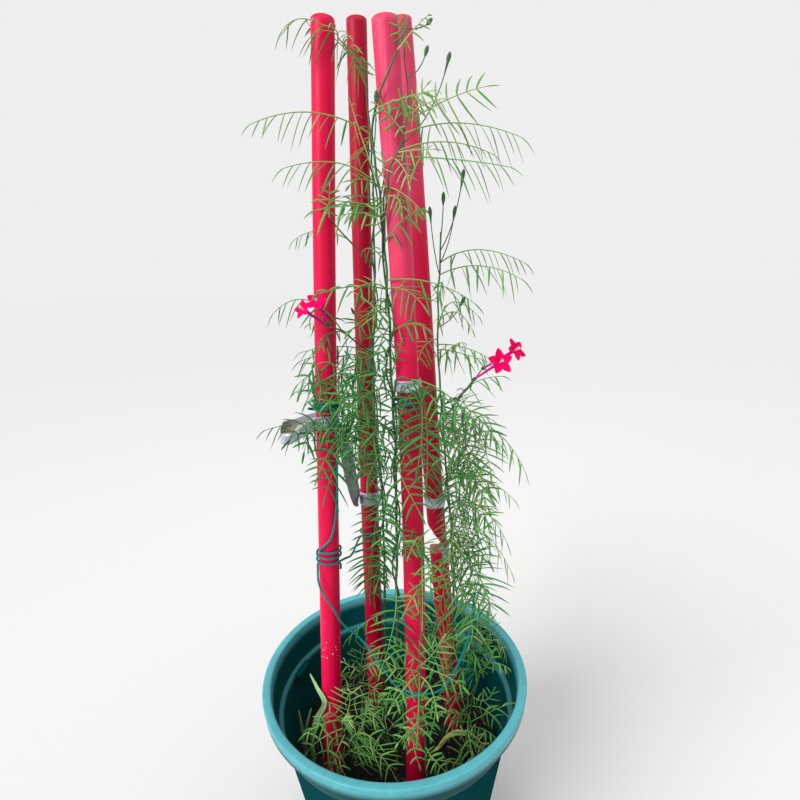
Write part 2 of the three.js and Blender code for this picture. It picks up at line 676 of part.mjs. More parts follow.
const viewer = -90;
const vines = {
  // Up the left side of the front stake, twining over it near the top.
  vine_front: {
    stem: [
      [2, -42, 146], [4, -50, 240], [6, -62, 340], [8, -58, 430], [10, -52, 520], [9, -48, 610], [8, -45, 690],
      [5, -41, 760], [1, -39, 820], [8, -50, 840], [20, -52, 862], [30, -42, 885], [33, -30, 901],
    ],
    shoots: [
      [0.745, [[14, -54, 780], [24, -53, 800], [30, -46, 822], [31, -36, 850], [29, -37, 880]]],
      [0.56, [[16, -66, 610], [30, -66, 606], [36, -66, 598]]],
      [0.53, [[-8, -50, 567], [-23, -42, 554]]],
    ],
    leaves: [
      [0, 0.8, -93, -70, 814, 60],
      [0, 0.755, -70, -65, 783, 55],
      [0, 0.75, 37, -75, 747, 30],
      [0, 0.81, -20, 0, 852, 40],
      [0, 0.73, -16, 10, 721, 20],
      [0, 0.65, 41, -80, 653, 20],
      [0, 0.66, -26, -10, 684, 40],
      [0, 0.6, -3, -25, 622, 30],
      [0, 0.6, 20, -70, 643, 30],
      [0, 0.57, 31, -78, 613, 20],
      [0, 0.56, -57, -45, 592, 45],
      [0, 0.54, -31, -20, 566, 30],
      [0, 0.545, 16, -75, 590, 30],
      [0, 0.5, 17, -85, 561, 30],
      [1, 0.55, 94, -50, 842, 10, viewer],
      [1, 0.56, 6, -60, 828, 10, viewer],
      [1, 0.45, 122, -50, 804, 55],
      [1, 0.28, 103, -40, 793, 45],
      [1, 0.3, 108, -72, 777, 55],
      [0, 0.95, 48, -50, 893, 40],
      [2, 0.98, 37, -85, 518, 10, viewer],
      [3, 0.5, -49, -55, 540, 35],
      [3, 0.95, -58, -50, 495, 10, viewer],
      [3, 0.9, -108, -55, 563, 60],
      [0, 0.33, -10, -80, 325, 10, viewer],
    ],
    buds: [
      [1, 0.85, 49, -10, 885],
      [1, 0.5, 67, -20, 875],
      [1, 0.12, 12, -57, 815],
      [0, 0.98, 51, -20, 902],
    ],
  },
  // Up the right-hand stake, the fullest one, with the right pair of flowers.
  vine_right: {
    stem: [
      [50, -22, 146], [62, -6, 230], [70, 6, 320], [70, 16, 400], [66, 24, 470], [61, 30, 560], [58, 32, 640],
      [60, 24, 700], [62, 14, 738],
    ],
    shoots: [
      [0.68, [[70, -4, 566], [80, -34, 592], [84, -41, 600]]],
      [0.7, [[78, -10, 580], [96, -20, 606]]],
    ],
    leaves: [
      [0, 0.95, 134, -30, 704, 55],
      [0, 0.93, 125, -55, 690, 60],
      [0, 0.81, 102, -30, 619, 50],
      [1, 0.35, 110, -50, 605, 45],
      [1, 0.15, 133, -50, 512, 45],
      [0, 0.7, 79, -30, 521, 30],
      [0, 0.57, 130, -20, 470, 50],
      [0, 0.53, 121, -30, 428, 45],
      [0, 0.49, 124, -40, 400, 40],
      [0, 0.44, 104, -40, 354, 35],
      [0, 0.42, 73, -50, 363, 20],
      [0, 0.66, 112, 10, 548, 45],
      [0, 0.62, 64, 104, 520, 40],
      [0, 0.78, 92, 74, 622, 45],
      [0, 0.5, 104, 66, 452, 45],
      [0, 0.3, 34, -40, 317, 20, viewer],
      [0, 0.34, 110, 24, 340, 45],
      [0, 0.25, 92, -28, 284, 35],
      [0, 0.88, 70, 100, 690, 45],
    ],
    buds: [
      [0, 0.99, 80, -10, 784],
      [0, 0.97, 63, 0, 767],
      [0, 0.98, 51, 10, 756],
      [0, 0.96, 72, -12, 753],
      [0, 0.84, 81, 0, 672],
    ],
  },
  // Up the back stake, with shoots to the left stake and the left pair of flowers.
  vine_back: {
    stem: [
      [-14, 32, 146], [-12, 38, 240], [-10, 44, 330], [-8, 50, 420], [-10, 50, 500], [-14, 44, 560],
      [-10, 46, 640], [-6, 52, 713], [-4, 58, 790], [-6, 60, 860], [-8, 58, 905],
    ],
    shoots: [
      [0.74, [[-22, 36, 726], [-34, 6, 740], [-41, -26, 750]]],
      [0.62, [[-28, 28, 632], [-36, 0, 645], [-40, -30, 651], [-47.5, -34, 654]]],
    ],
    leaves: [
      [0, 0.98, -51, 0, 914, 35],
      [0, 0.94, 30, 96, 880, 45],
      [1, 0.98, -38, -37, 773, 15, viewer],
      [1, 0.5, -88, 40, 736, 45],
      [2, 0.8, -96, -34, 668, 50],
      [2, 0.6, -58, -46, 636, 40],
      [2, 0.25, -80, 62, 650, 45],
      [0, 0.6, -86, 16, 615, 45],
      [0, 0.575, -94, 22, 582, 45],
      [0, 0.38, -25, 15, 346, 10, viewer],
      [0, 0.385, 18, -8, 417, 20],
      [0, 0.52, -4, 0, 500, 25],
      [0, 0.69, 12, 116, 660, 45],
      [0, 0.82, 24, 114, 776, 45],
      [0, 0.48, 16, 116, 462, 45],
      [0, 0.3, 20, 96, 352, 45],
      [0, 0.2, -60, 40, 262, 40],
    ],
  },
  // In front of the front stake, low down.
  vine_low: {
    stem: [[34, -102, 146], [30, -99, 240], [26, -95, 310], [27, -92, 345], [31, -82, 400], [32, -76, 442]],
    leaves: [
      [0, 0.62, 22, -122, 287, 10, viewer],
      [0, 0.6, -8, -112, 322, 20],
      [0, 0.64, 66, -108, 326, 20],
      [0, 0.66, 2, -96, 368, 30],
      [0, 0.68, 60, -96, 372, 30],
      [0, 0.97, 30, -100, 392, 10, viewer],
      [0, 0.9, 62, -66, 440, 40],
      [0, 0.3, 66, -92, 220, 40],
    ],
  },
  // Sprawling inside the pot, at the right, the left and the middle.
  vine_pot_right: {
    stem: [[72, -40, 146], [80, -36, 200], [86, -30, 240], [95, -20, 262], [104, -8, 282]],
    leaves: [
      [0, 0.45, 124, -50, 250, 40],
      [0, 0.42, 103, -62, 222, 30],
      [0, 0.95, 132, 6, 272, 55],
      [0, 0.5, 50, -72, 262, 30],
      [0, 0.3, 78, -88, 206, 40],
      [0, 0.75, 88, 30, 288, 40],
      [0, 0.9, 122, -40, 286, 40],
    ],
  },
  vine_pot_left: {
    stem: [[-42, -66, 146], [-46, -69, 200], [-52, -71, 240], [-57, -73, 262]],
    leaves: [
      [0, 0.97, -92, -84, 252, 35],
      [0, 0.8, -66, -94, 214, 20],
      [0, 0.6, -24, -92, 232, 35],
      [0, 0.5, -26, -58, 262, 35],
      [0, 0.95, -42, -98, 284, 30],
    ],
  },
  vine_pot_middle: {
    stem: [[-30, -8, 146], [-36, -2, 190], [-42, 2, 225], [-40, 0, 262]],
    leaves: [
      [0, 0.95, -16, -26, 282, 35],
      [0, 0.9, -76, 6, 268, 35],
      [0, 0.7, -22, -40, 222, 35],
      [0, 0.6, -72, 14, 214, 40],
      [0, 0.5, -18, 20, 216, 40],
      [0, 0.35, -56, -30, 190, 40],
    ],
  },
};

// Each flower from its calyx, just off the end of its vine's shoot, to its mouth.
const flowers = {
  flower_right_near: [[83.8, -42, 600.5], [107, -60, 619]],
  flower_right_far: [[96.2, -19.8, 607], [123, -44, 628]],
  flower_left_near: [[-47.8, -34.3, 654.2], [-68, -56, 668]],
  flower_left_far: [[-45.9, -33.2, 655], [-55, -38, 679]],
};

// Weeds: blades of a shared foot in the soil, each [points above the foot, greatest width].
const weeds = {
  grass_blade: {
    foot: [-88, -52, 148],
    blades: [[[[-92, -46, 200], [-84, -48, 236], [-74, -52, 262], [-82, -44, 271], [-91, -34, 281]], 8]],
  },
  grass_tuft: {
    foot: [-104, -30, 148],
    blades: [
      [[[-103, -30, 185], [-100, -32, 212], [-94, -30, 232]], 3],
      [[[-105, -28, 180], [-107, -26, 205], [-110, -22, 222]], 3],
    ],
  },
  seedling: {
    foot: [-44, 26, 148],
    blades: [[[[-42, 24, 176], [-30, 22, 190], [-12, 20, 184]], 5]],
  },
};

function makeWeed({ foot, blades }) {
  return blades
    .map(([points, widest]) => makeBlade([foot, ...points], widest, viewer))
    .reduce((whole, blade) => whole.add(blade));
}

// The fallen, yellowed leaf lies on the soil, from its stalk's end to its tip.
const fallenLeaf = { from: [38, -30], to: [94, -18], lift: 0.8, fold: -4 };
function makeFallenLeaf() {
  const [from, to] = [fallenLeaf.from, fallenLeaf.to].map(([x, y]) =>
    vec(x, y, soilHeightAt(x, y) + fallenLeaf.lift),
  );
  const { corners, faces } = leafGeometry(from, to, fallenLeaf.fold, sky);
  return toSolid(meshFrom(corners, faces));
}

const stemRoutes = Object.values(vines).map(({ stem }) => stem);
const weedRoutes = Object.values(weeds).map(({ foot, blades }) => [foot, blades[0][0][0]]);

addNode("pot", makePot(), potPlastic);
addNode("soil", makeSoil([...stemRoutes, ...weedRoutes]), soilMatter);
for (const name of Object.keys(stakeCurves)) addNode(name, makeStake(name), stakeRed);
for (const [name, band] of Object.entries(bands)) addNode(name, makeBand(band), tapeGrey);
addNode("tape_patch", makePatch(), tapeGrey);
addNode("tape_loop", makeLoop(), tapeGrey);
addNode("tape_strip", makeStrip(), tapeGrey);
for (const [name, route] of Object.entries(wires)) addNode(name, makeWire(route), wireGreen);
for (const [name, shape] of Object.entries(vines)) addNode(name, makeVine(shape), leafGreen);
for (const [name, ends] of Object.entries(flowers)) addNode(name, makeFlower(...ends), petalPink);
for (const [name, shape] of Object.entries(weeds)) addNode(name, makeWeed(shape), grassGreen);
addNode("fallen_leaf", makeFallenLeaf(), yellowLeaf);

export default plant;
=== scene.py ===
import math
import random

import bmesh
import bpy
import numpy as np
from mathutils import Matrix, Vector, noise


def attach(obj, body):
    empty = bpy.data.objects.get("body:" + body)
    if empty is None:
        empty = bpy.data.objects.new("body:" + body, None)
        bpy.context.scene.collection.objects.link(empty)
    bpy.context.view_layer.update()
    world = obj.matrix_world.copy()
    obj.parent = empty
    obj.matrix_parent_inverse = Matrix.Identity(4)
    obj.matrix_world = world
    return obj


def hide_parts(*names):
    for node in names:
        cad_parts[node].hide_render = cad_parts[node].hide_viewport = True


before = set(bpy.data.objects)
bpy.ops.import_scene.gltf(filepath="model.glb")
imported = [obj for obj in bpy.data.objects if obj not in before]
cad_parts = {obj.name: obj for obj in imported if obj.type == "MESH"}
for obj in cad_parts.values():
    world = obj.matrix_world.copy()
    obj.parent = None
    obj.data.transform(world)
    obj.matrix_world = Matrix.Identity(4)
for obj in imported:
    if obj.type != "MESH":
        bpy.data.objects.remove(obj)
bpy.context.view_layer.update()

mm = 0.001
up = np.array((0.0, 0.0, 1.0))
plantAxis = np.array((10.0, 5.0, 0.0))  # the vine's own middle, in mm like every size below


def unit(v):
    return v / max(float(np.linalg.norm(v)), 1e-9)


def clamp(value):
    return min(1.0, max(0.0, value))


def arc(start, pull, end, t):
    # a curve from start to end that is drawn towards pull
    return (1 - t) ** 2 * start + 2 * t * (1 - t) * pull + t**2 * end


def newObject(name, data):
    piece = bpy.data.objects.new(name, data)
    bpy.context.scene.collection.objects.link(piece)
    return piece


# Camera, floor and light.
cameraSetup = {
    "place": (16.3, -497.0, 689.0),
    "pitchDown": 12.96,
    "roll": -1.88,
    "lens": 22.5,
    "sensor": 36.0,
    "pixels": 800,
}


def cameraAxes(c):
    # the directions to the right, up and ahead in the picture
    pitch, roll = math.radians(c["pitchDown"]), math.radians(c["roll"])
    ahead = np.array((0.0, math.cos(pitch), -math.sin(pitch)))
    right = np.array((1.0, 0.0, 0.0))
    level = np.cross(right, ahead)
    x = right * math.cos(roll) + level * math.sin(roll)
    y = level * math.cos(roll) - right * math.sin(roll)
    return x, y, ahead


def pictureScale(c):
    # the middle of the picture and the focal length, both in pixels
    return c["pixels"] / 2, c["pixels"] * c["lens"] / c["sensor"]


def atPixel(x, y, depth):
    # the place at a depth along Y that the camera sees at a pixel of the photograph
    c = cameraSetup
    right, above, ahead = cameraAxes(c)
    middle, focal = pictureScale(c)
    ray = ahead + right * (x - middle) / focal + above * (middle - y) / focal
    return np.array(c["place"]) + ray * (depth - c["place"][1]) / ray[1]


def pixelsOf(path):
    # where the camera sees each point of a path
    c = cameraSetup
    right, above, ahead = cameraAxes(c)
    middle, focal = pictureScale(c)
    reach = np.array(path) - np.array(c["place"])
    away = reach @ ahead
    return np.column_stack((middle + focal * (reach @ right) / away, middle - focal * (reach @ above) / away))


def makeCamera(c):
    x, y, ahead = (Vector(axis) for axis in cameraAxes(c))
    data = bpy.data.cameras.new("viewCamera")
    data.sensor_width, data.lens = c["sensor"], c["lens"]
    data.clip_start, data.clip_end = 0.02, 50
    camera = newObject("viewCamera", data)
    turn = Matrix((x, y, -ahead)).transposed().to_4x4()
    camera.matrix_world = Matrix.Translation(Vector(c["place"]) * mm) @ turn
    bpy.context.scene.camera = camera


makeCamera(cameraSetup)
print("camera placed")

lightSetup = {
    "sky": 0.86,
    "key": {"from": (-0.72, -0.62, 0.78), "strength": 3.1, "softness": 38.0},
    "top": {"place": (0.0, 0.3, 2.6), "power": 12, "size": 1.4},
    "target": (0, 0, 0.4),
    "floorSize": 160.0,
    "floorColor": (0.6, 0.6, 0.598, 1),
}


def aimLamp(data, place, target):
    lamp = newObject(data.name, data)
    lamp.location = place
    lamp.rotation_euler = (Vector(target) - Vector(place)).to_track_quat("-Z", "Y").to_euler()


def makeLights(s):
    scene = bpy.context.scene
    scene.view_settings.view_transform = "Standard"
    world = bpy.data.worlds.new("softSky")
    world.use_nodes = True
    sky = world.node_tree.nodes["Background"]
    sky.inputs["Color"].default_value = (1, 1, 1, 1)
    sky.inputs["Strength"].default_value = s["sky"]
    scene.world = world
    key = bpy.data.lights.new("keyLight", "SUN")
    key.energy, key.angle = s["key"]["strength"], math.radians(s["key"]["softness"])
    aimLamp(key, Vector(s["key"]["from"]) * 3, s["target"])
    top = bpy.data.lights.new("topLight", "AREA")
    top.energy, top.size = s["top"]["power"], s["top"]["size"]
    aimLamp(top, s["top"]["place"], s["target"])
    half = s["floorSize"] / 2
    mesh = bpy.data.meshes.new("paleFloor")
    corners = [(-half, -half, 0), (half, -half, 0), (half, half, 0), (-half, half, 0)]
    mesh.from_pydata(corners, [], [(0, 1, 2, 3)])
    floor = newObject("paleFloor", mesh)
    look = bpy.data.materials.new("floorPaint")
    look.use_nodes = True
    skin = look.node_tree.nodes["Principled BSDF"]
    skin.inputs["Base Color"].default_value = s["floorColor"]
    skin.inputs["Roughness"].default_value = 0.9
    skin.inputs["Specular IOR Level"].default_value = 0.0
    mesh.materials.append(look)


makeLights(lightSetup)
print("floor and lights placed")


# Shader helpers.
def addNode(tree, kind, **settings):
    node = tree.nodes.new(kind)
    for key, value in settings.items():
        setattr(node, key, value)
    return node


def wireUp(tree, *rows):
    # each row is a node and its output, then a node and its input
    for source, outlet, target, inlet in rows:
        tree.links.new(source.outputs[outlet], target.inputs[inlet])


def numberGroup(name, inputs, outputs):
    # an empty shader group that takes and gives plain numbers
    tree = bpy.data.node_groups.new(name, "ShaderNodeTree")
    for label, value in inputs.items():
        socket = tree.interface.new_socket(label, in_out="INPUT", socket_type="NodeSocketFloat")
        socket.default_value = value
    for label in outputs:
        tree.interface.new_socket(label, in_out="OUTPUT", socket_type="NodeSocketFloat")
    return tree, addNode(tree, "NodeGroupInput"), addNode(tree, "NodeGroupOutput")


def mottleGroup():
    # cloudy variation of two scales, for colour, gloss and fine bumps
    inputs = {"Coarse": 12.0, "Fine": 90.0, "Blend": 0.5}
    tree, entry, leave = numberGroup("mottle", inputs, ("Mask", "Height"))
    place, coarse, fine, mix, spread = (
        addNode(tree, "ShaderNode" + kind) for kind in ("TexCoord", "TexNoise", "TexNoise", "Mix", "MapRange")
    )
    coarse.inputs["Detail"].default_value, fine.inputs["Detail"].default_value = 4, 3
    spread.inputs["From Min"].default_value, spread.inputs["From Max"].default_value = 0.32, 0.68
    wireUp(
        tree, (place, "Object", coarse, "Vector"), (place, "Object", fine, "Vector"),
        (entry, "Coarse", coarse, "Scale"), (entry, "Fine", fine, "Scale"), (entry, "Blend", mix, "Factor"),
        (coarse, "Fac", mix, "A"), (fine, "Fac", mix, "B"), (mix, "Result", spread, "Value"),
        (spread, "Result", leave, "Mask"), (fine, "Fac", leave, "Height"),
    )
    return tree


def speckGroup():
    # scattered small round specks
    tree, entry, leave = numberGroup("specks", {"Scale": 300.0, "Size": 0.2, "Share": 0.3}, ("Mask",))
    place, cells, split = (
        addNode(tree, "ShaderNode" + kind) for kind in ("TexCoord", "TexVoronoi", "SeparateColor")
    )
    near, chosen, both = (
        addNode(tree, "ShaderNodeMath", operation=kind) for kind in ("LESS_THAN", "LESS_THAN", "MULTIPLY")
    )
    wireUp(
        tree, (place, "Object", cells, "Vector"), (entry, "Scale", cells, "Scale"),
        (cells, "Distance", near, 0), (entry, "Size", near, 1), (cells, "Color", split, "Color"),
        (split, "Red", chosen, 0), (entry, "Share", chosen, 1), (near, 0, both, 0), (chosen, 0, both, 1),
        (both, 0, leave, "Mask"),
    )
    return tree


mottle = mottleGroup()
specks = speckGroup()


class Paint:
    # a material under construction: its tree, its Principled shader and a few short calls
    def __init__(self, name, roughness, specular=0.5, coat=0.0):
        self.material = bpy.data.materials.new(name)
        self.material.use_nodes = True
        self.tree = self.material.node_tree
        self.skin = self.tree.nodes["Principled BSDF"]
        self.skin.inputs["Roughness"].default_value = roughness
        self.skin.inputs["Specular IOR Level"].default_value = specular
        self.skin.inputs["Coat Weight"].default_value = coat

    def node(self, kind, **settings):
        return addNode(self.tree, kind, **settings)

    def link(self, source, target):
        self.tree.links.new(source, target)

    def group(self, tree, **values):
        made = self.node("ShaderNodeGroup", node_tree=tree)
        for key, value in values.items():
            made.inputs[key].default_value = value
        return made

    def attribute(self, name):
        return self.node("ShaderNodeAttribute", attribute_name=name).outputs["Fac"]

    def mix(self, factor, a, b):
        made = self.node("ShaderNodeMix", data_type="RGBA")
        if isinstance(factor, (int, float)):
            made.inputs["Factor"].default_value = factor
        else:
            self.link(factor, made.inputs["Factor"])
        for socket, value in ((made.inputs[6], a), (made.inputs[7], b)):
            if isinstance(value, tuple):
                socket.default_value = (*value, 1)
            else:
                self.link(value, socket)
        return made.outputs[2]

    def times(self, a, b):
        made = self.node("ShaderNodeMath", operation="MULTIPLY", use_clamp=True)
        for socket, value in zip(made.inputs, (a, b)):
            if isinstance(value, (int, float)):
                socket.default_value = value
            else:
                self.link(value, socket)
        return made.outputs[0]

    def ramp(self, factor, *stops):
        made = self.node("ShaderNodeValToRGB")
        while len(made.color_ramp.elements) < len(stops):
            made.color_ramp.elements.new(0.5)
        for element, (place, color) in zip(made.color_ramp.elements, stops):
            element.position, element.color = place, (*color, 1)
        self.link(factor, made.inputs["Fac"])
        return made.outputs["Color"]

    def spread(self, value, low, high):
        made = self.node("ShaderNodeMapRange")
        made.inputs["To Min"].default_value, made.inputs["To Max"].default_value = low, high
        self.link(value, made.inputs["Value"])
        return made.outputs["Result"]

    def color(self, socket):
        self.link(socket, self.skin.inputs["Base Color"])

    def roughness(self, socket):
        self.link(socket, self.skin.inputs["Roughness"])

    def bump(self, height, distance, strength=0.6):
        made = self.node("ShaderNodeBump")
        made.inputs["Distance"].default_value = distance
        made.inputs["Strength"].default_value = strength
        self.link(height, made.inputs["Height"])
        self.link(made.outputs["Normal"], self.skin.inputs["Normal"])


def potPaint():
    p = Paint("pottedTeal", 0.42)
    cloud = p.group(mottle, Coarse=14.0, Fine=160.0, Blend=0.35)
    # painted light and shade: the outer wall darkest where the rim shades it, the inner wall in painted
    # shade, the rim's face painted pale where light falls on it
    shadedOuterTeal, shadedInnerTeal, litRimTeal = (0.003, 0.05, 0.053), (0.002, 0.06, 0.062), (0.085, 0.38, 0.43)
    litAndShadedTeal = p.ramp(p.attribute("faded"), (0.0, shadedOuterTeal), (0.2, shadedInnerTeal), (1.0, litRimTeal))
    base = p.mix(p.times(cloud.outputs["Mask"], 0.3), litAndShadedTeal, (0.002, 0.035, 0.038))
    # the painted-lit rim is also more specular
    p.link(p.spread(p.attribute("faded"), 0.0, 0.24), p.skin.inputs["Specular IOR Level"])
    dirt = p.times(p.attribute("dirt"), p.group(specks, Scale=260.0, Size=0.32, Share=0.5).outputs["Mask"])
    p.color(p.mix(dirt, base, (0.01, 0.022, 0.022)))
    p.roughness(p.spread(cloud.outputs["Mask"], 0.3, 0.48))
    p.bump(cloud.outputs["Height"], 0.0002, 0.35)
    return p.material


def soilPaint():
    p = Paint("darkSoil", 0.95, 0.25)
    cloud = p.group(mottle, Coarse=40.0, Fine=420.0, Blend=0.55)
    damp, dull, dusty = (0.004, 0.003, 0.003), (0.009, 0.007, 0.006), (0.022, 0.015, 0.013)
    p.color(p.ramp(cloud.outputs["Mask"], (0.0, damp), (0.6, dull), (1.0, dusty)))
    p.bump(cloud.outputs["Height"], 0.0012, 0.9)
    return p.material


def crumbPaint():
    p = Paint("soilCrumb", 0.95, 0.2)
    damp, dull = (0.004, 0.003, 0.003), (0.012, 0.009, 0.008)
    dusty, dry = (0.035, 0.023, 0.019), (0.12, 0.09, 0.075)
    p.color(p.ramp(p.attribute("tint"), (0.0, damp), (0.65, dull), (0.93, dusty), (1.0, dry)))
    cloud = p.group(mottle, Coarse=200.0, Fine=900.0, Blend=0.5)
    p.bump(cloud.outputs["Height"], 0.0004, 0.8)
    return p.material


def strawPaint():
    p = Paint("driedBits", 0.8, 0.3)
    bark, straw, bleached = (0.05, 0.035, 0.02), (0.2, 0.15, 0.08), (0.38, 0.3, 0.18)
    p.color(p.ramp(p.attribute("tint"), (0.0, bark), (0.6, straw), (1.0, bleached)))
    return p.material


def stakePaint():
    p = Paint("redStakeCoat", 0.42, 0.15)
    cloud = p.group(mottle, Coarse=9.0, Fine=70.0, Blend=0.4)
    red = p.mix(cloud.outputs["Mask"], (0.56, 0.001, 0.042), (0.66, 0.003, 0.06))
    film = p.mix(cloud.outputs["Mask"], (0.58, 0.04, 0.11), (0.66, 0.07, 0.15))
    coated = p.mix(p.attribute("pale"), red, film)
    # painted shade: the red darkens to a deep red where leaves and the other stakes shade the stake
    deep = p.mix(p.attribute("deep"), coated, (0.3, 0.0, 0.016))
    # painted shade in the film's creases: a darker red along each fold
    creaseShaded = p.mix(p.attribute("crease"), deep, (0.36, 0.006, 0.05))
    worn = p.times(p.attribute("worn"), p.group(specks, Scale=300.0, Size=0.17, Share=0.35).outputs["Mask"])
    p.color(p.mix(worn, creaseShaded, (0.85, 0.62, 0.62)))
    p.roughness(p.spread(cloud.outputs["Mask"], 0.32, 0.48))
    p.bump(cloud.outputs["Height"], 0.0003, 0.4)
    return p.material


def tapePaint():
    p = Paint("greyTape", 0.3, 0.7)
    cloud = p.group(mottle, Coarse=60.0, Fine=700.0, Blend=0.35)
    darkGrey, midGrey, paleGrey = (0.16, 0.165, 0.2), (0.3, 0.31, 0.37), (0.5, 0.52, 0.6)
    grey = p.ramp(cloud.outputs["Mask"], (0.0, darkGrey), (0.55, midGrey), (1.0, paleGrey))
    # painted highlight: the grey turns pale blue-white where light glints on the tape
    p.color(p.mix(p.attribute("shine"), grey, (0.66, 0.72, 0.8)))
    p.skin.inputs["Metallic"].default_value = 0.45
    p.roughness(p.spread(cloud.outputs["Mask"], 0.24, 0.45))
    p.bump(cloud.outputs["Height"], 0.0003, 0.6)
    return p.material


def tapeBackPaint():
    p = Paint("tapeBacking", 0.7, 0.3)
    cloud = p.group(mottle, Coarse=50.0, Fine=600.0, Blend=0.5)
    # painted shade: the inside of the tape is grey where it is shaded
    inside = p.mix(cloud.outputs["Mask"], (0.2, 0.19, 0.22), (0.34, 0.33, 0.37))
    # the beige backing shows only where the inside is lit
    p.color(p.mix(p.attribute("bare"), inside, (0.62, 0.53, 0.4)))
    p.bump(cloud.outputs["Height"], 0.0003, 0.6)
    return p.material


def foliagePaint(name, roughness, *stops):
    p = Paint(name, roughness, 0.35)
    cloud = p.group(mottle, Coarse=60.0, Fine=500.0, Blend=0.5)
    shade = p.ramp(p.attribute("tint"), *stops)
    p.color(p.mix(p.times(cloud.outputs["Mask"], 0.3), shade, (0.02, 0.1, 0.03)))
    p.bump(cloud.outputs["Height"], 0.0002, 0.3)
    return p.material


def petalPaint():
    p = Paint("starPetal", 0.6, 0.03)
    cloud = p.group(mottle, Coarse=150.0, Fine=600.0, Blend=0.4)
    bright = p.mix(cloud.outputs["Mask"], (0.6, 0.0, 0.07), (0.76, 0.002, 0.115))
    p.color(p.mix(p.attribute("tube"), bright, (0.5, 0.01, 0.22)))
    p.bump(cloud.outputs["Height"], 0.0002, 0.3)
    return p.material


def plainPaint(name, low, high, roughness=0.6, specular=0.4, grain=(80.0, 500.0, 0.5), bump=(0.0002, 0.3)):
    # two colours clouded into each other; grain is the cloud's coarse and fine scale and their blend
    p = Paint(name, roughness, specular)
    cloud = p.group(mottle, Coarse=grain[0], Fine=grain[1], Blend=grain[2])
    p.color(p.mix(cloud.outputs["Mask"], low, high))
    if bump:
        p.bump(cloud.outputs["Height"], *bump)
    return p.material


potTeal, darkSoil, soilCrumb, driedBits = potPaint(), soilPaint(), crumbPaint(), strawPaint()
redStakeCoat, greyTape, tapeBacking, starPetal = stakePaint(), tapePaint(), tapeBackPaint(), petalPaint()
stakeCore = plainPaint(
    "stakeCore", (0.3, 0.02, 0.035), (0.62, 0.3, 0.3), 0.7, 0.3, grain=(120.0, 500.0, 0.5), bump=(0.0008, 0.8)
)
tealTieWire = plainPaint(
    "tealTieWire", (0.0, 0.1, 0.105), (0.002, 0.22, 0.21), 0.45, 0.12, grain=(30.0, 200.0, 0.4), bump=None
)
featherGreen = foliagePaint(
    "featherGreen", 0.55,
    (0.0, (0.012, 0.08, 0.018)), (0.3, (0.024, 0.165, 0.03)), (0.55, (0.065, 0.27, 0.045)),
    (0.8, (0.18, 0.36, 0.08)), (1.0, (0.36, 0.42, 0.17)),
)
stemGreen = foliagePaint(
    "stemGreen", 0.5,
    (0.0, (0.05, 0.012, 0.02)), (0.35, (0.03, 0.045, 0.018)), (0.7, (0.035, 0.12, 0.03)),
    (1.0, (0.12, 0.26, 0.06)),
)
paleBlade = plainPaint("paleBlade", (0.13, 0.3, 0.1), (0.32, 0.5, 0.24))
wiltedYellow = foliagePaint(
    "wiltedYellow", 0.7, (0.0, (0.34, 0.42, 0.08)), (0.6, (0.55, 0.6, 0.16)), (1.0, (0.75, 0.72, 0.32))
)
stamenWhite = plainPaint("stamenWhite", (0.75, 0.6, 0.45), (0.9, 0.85, 0.75))
print("materials mixed")


# Mesh helpers. Everything is worked out in mm and written in metres.
def addLayers(mesh, values, kind="FLOAT", field="value"):
    # values for each point, under their own names
    for key, numbers in values.items():
        layer = mesh.attributes.new(key, kind, "POINT")
        layer.data.foreach_set(field, np.asarray(numbers, dtype=np.float32).ravel())


def newPiece(name, points, faces, materials, smooth=True, values=None):
    mesh = bpy.data.meshes.new(name)
    mesh.from_pydata([tuple(p) for p in np.asarray(points) * mm], [], faces)
    for look in materials:
        mesh.materials.append(look)
    if smooth:
        mesh.polygons.foreach_set("use_smooth", [True] * len(mesh.polygons))
    addLayers(mesh, values or {})
    mesh.validate()
    return newObject(name, mesh)


def bake(piece):
    # leaves the piece with the plain mesh that its modifiers make
    bpy.context.view_layer.update()
    depsgraph = bpy.context.evaluated_depsgraph_get()
    plain = bpy.data.meshes.new_from_object(
        piece.evaluated_get(depsgraph), preserve_all_data_layers=True, depsgraph=depsgraph
    )
    piece.modifiers.clear()
    piece.data = plain


def cutOut(piece, cutters, materialMode="INDEX"):
    for cutter in cutters:
        cut = piece.modifiers.new("cut", "BOOLEAN")
        cut.object, cut.operation, cut.solver, cut.material_mode = cutter, "DIFFERENCE", "EXACT", materialMode
    bake(piece)
    for cutter in cutters:
        bpy.data.objects.remove(cutter)


def camelName(words):
    return "".join(word.capitalize() if i else word for i, word in enumerate(words.split("_")))


def finishPiece(piece, slot, *nodes):
    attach(piece, "root")
    if nodes:
        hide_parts(*nodes)


# A smooth path through points, as centripetal Catmull-Rom, sampled evenly.
def smoothPath(points, count):
    p = np.array(points, dtype=float)
    p = np.vstack((2 * p[0] - p[1], p, 2 * p[-1] - p[-2]))
    dense = []
    for i in range(1, len(p) - 2):
        p0, p1, p2, p3 = p[i - 1 : i + 3]
        d0, d1, d2 = (max(math.sqrt(np.linalg.norm(b - a)), 1e-4) for a, b in ((p0, p1), (p1, p2), (p2, p3)))
        m1 = ((p1 - p0) / d0 - (p2 - p0) / (d0 + d1) + (p2 - p1) / d1) * d1
        m2 = ((p2 - p1) / d1 - (p3 - p1) / (d1 + d2) + (p3 - p2) / d2) * d1
        for t in np.linspace(0, 1, 24, endpoint=False):
            h = (2 * t**3 - 3 * t**2 + 1, t**3 - 2 * t**2 + t, -2 * t**3 + 3 * t**2, t**3 - t**2)
            dense.append(h[0] * p1 + h[1] * m1 + h[2] * p2 + h[3] * m2)
    dense.append(p[-2])
    return evenly(np.array(dense), count)


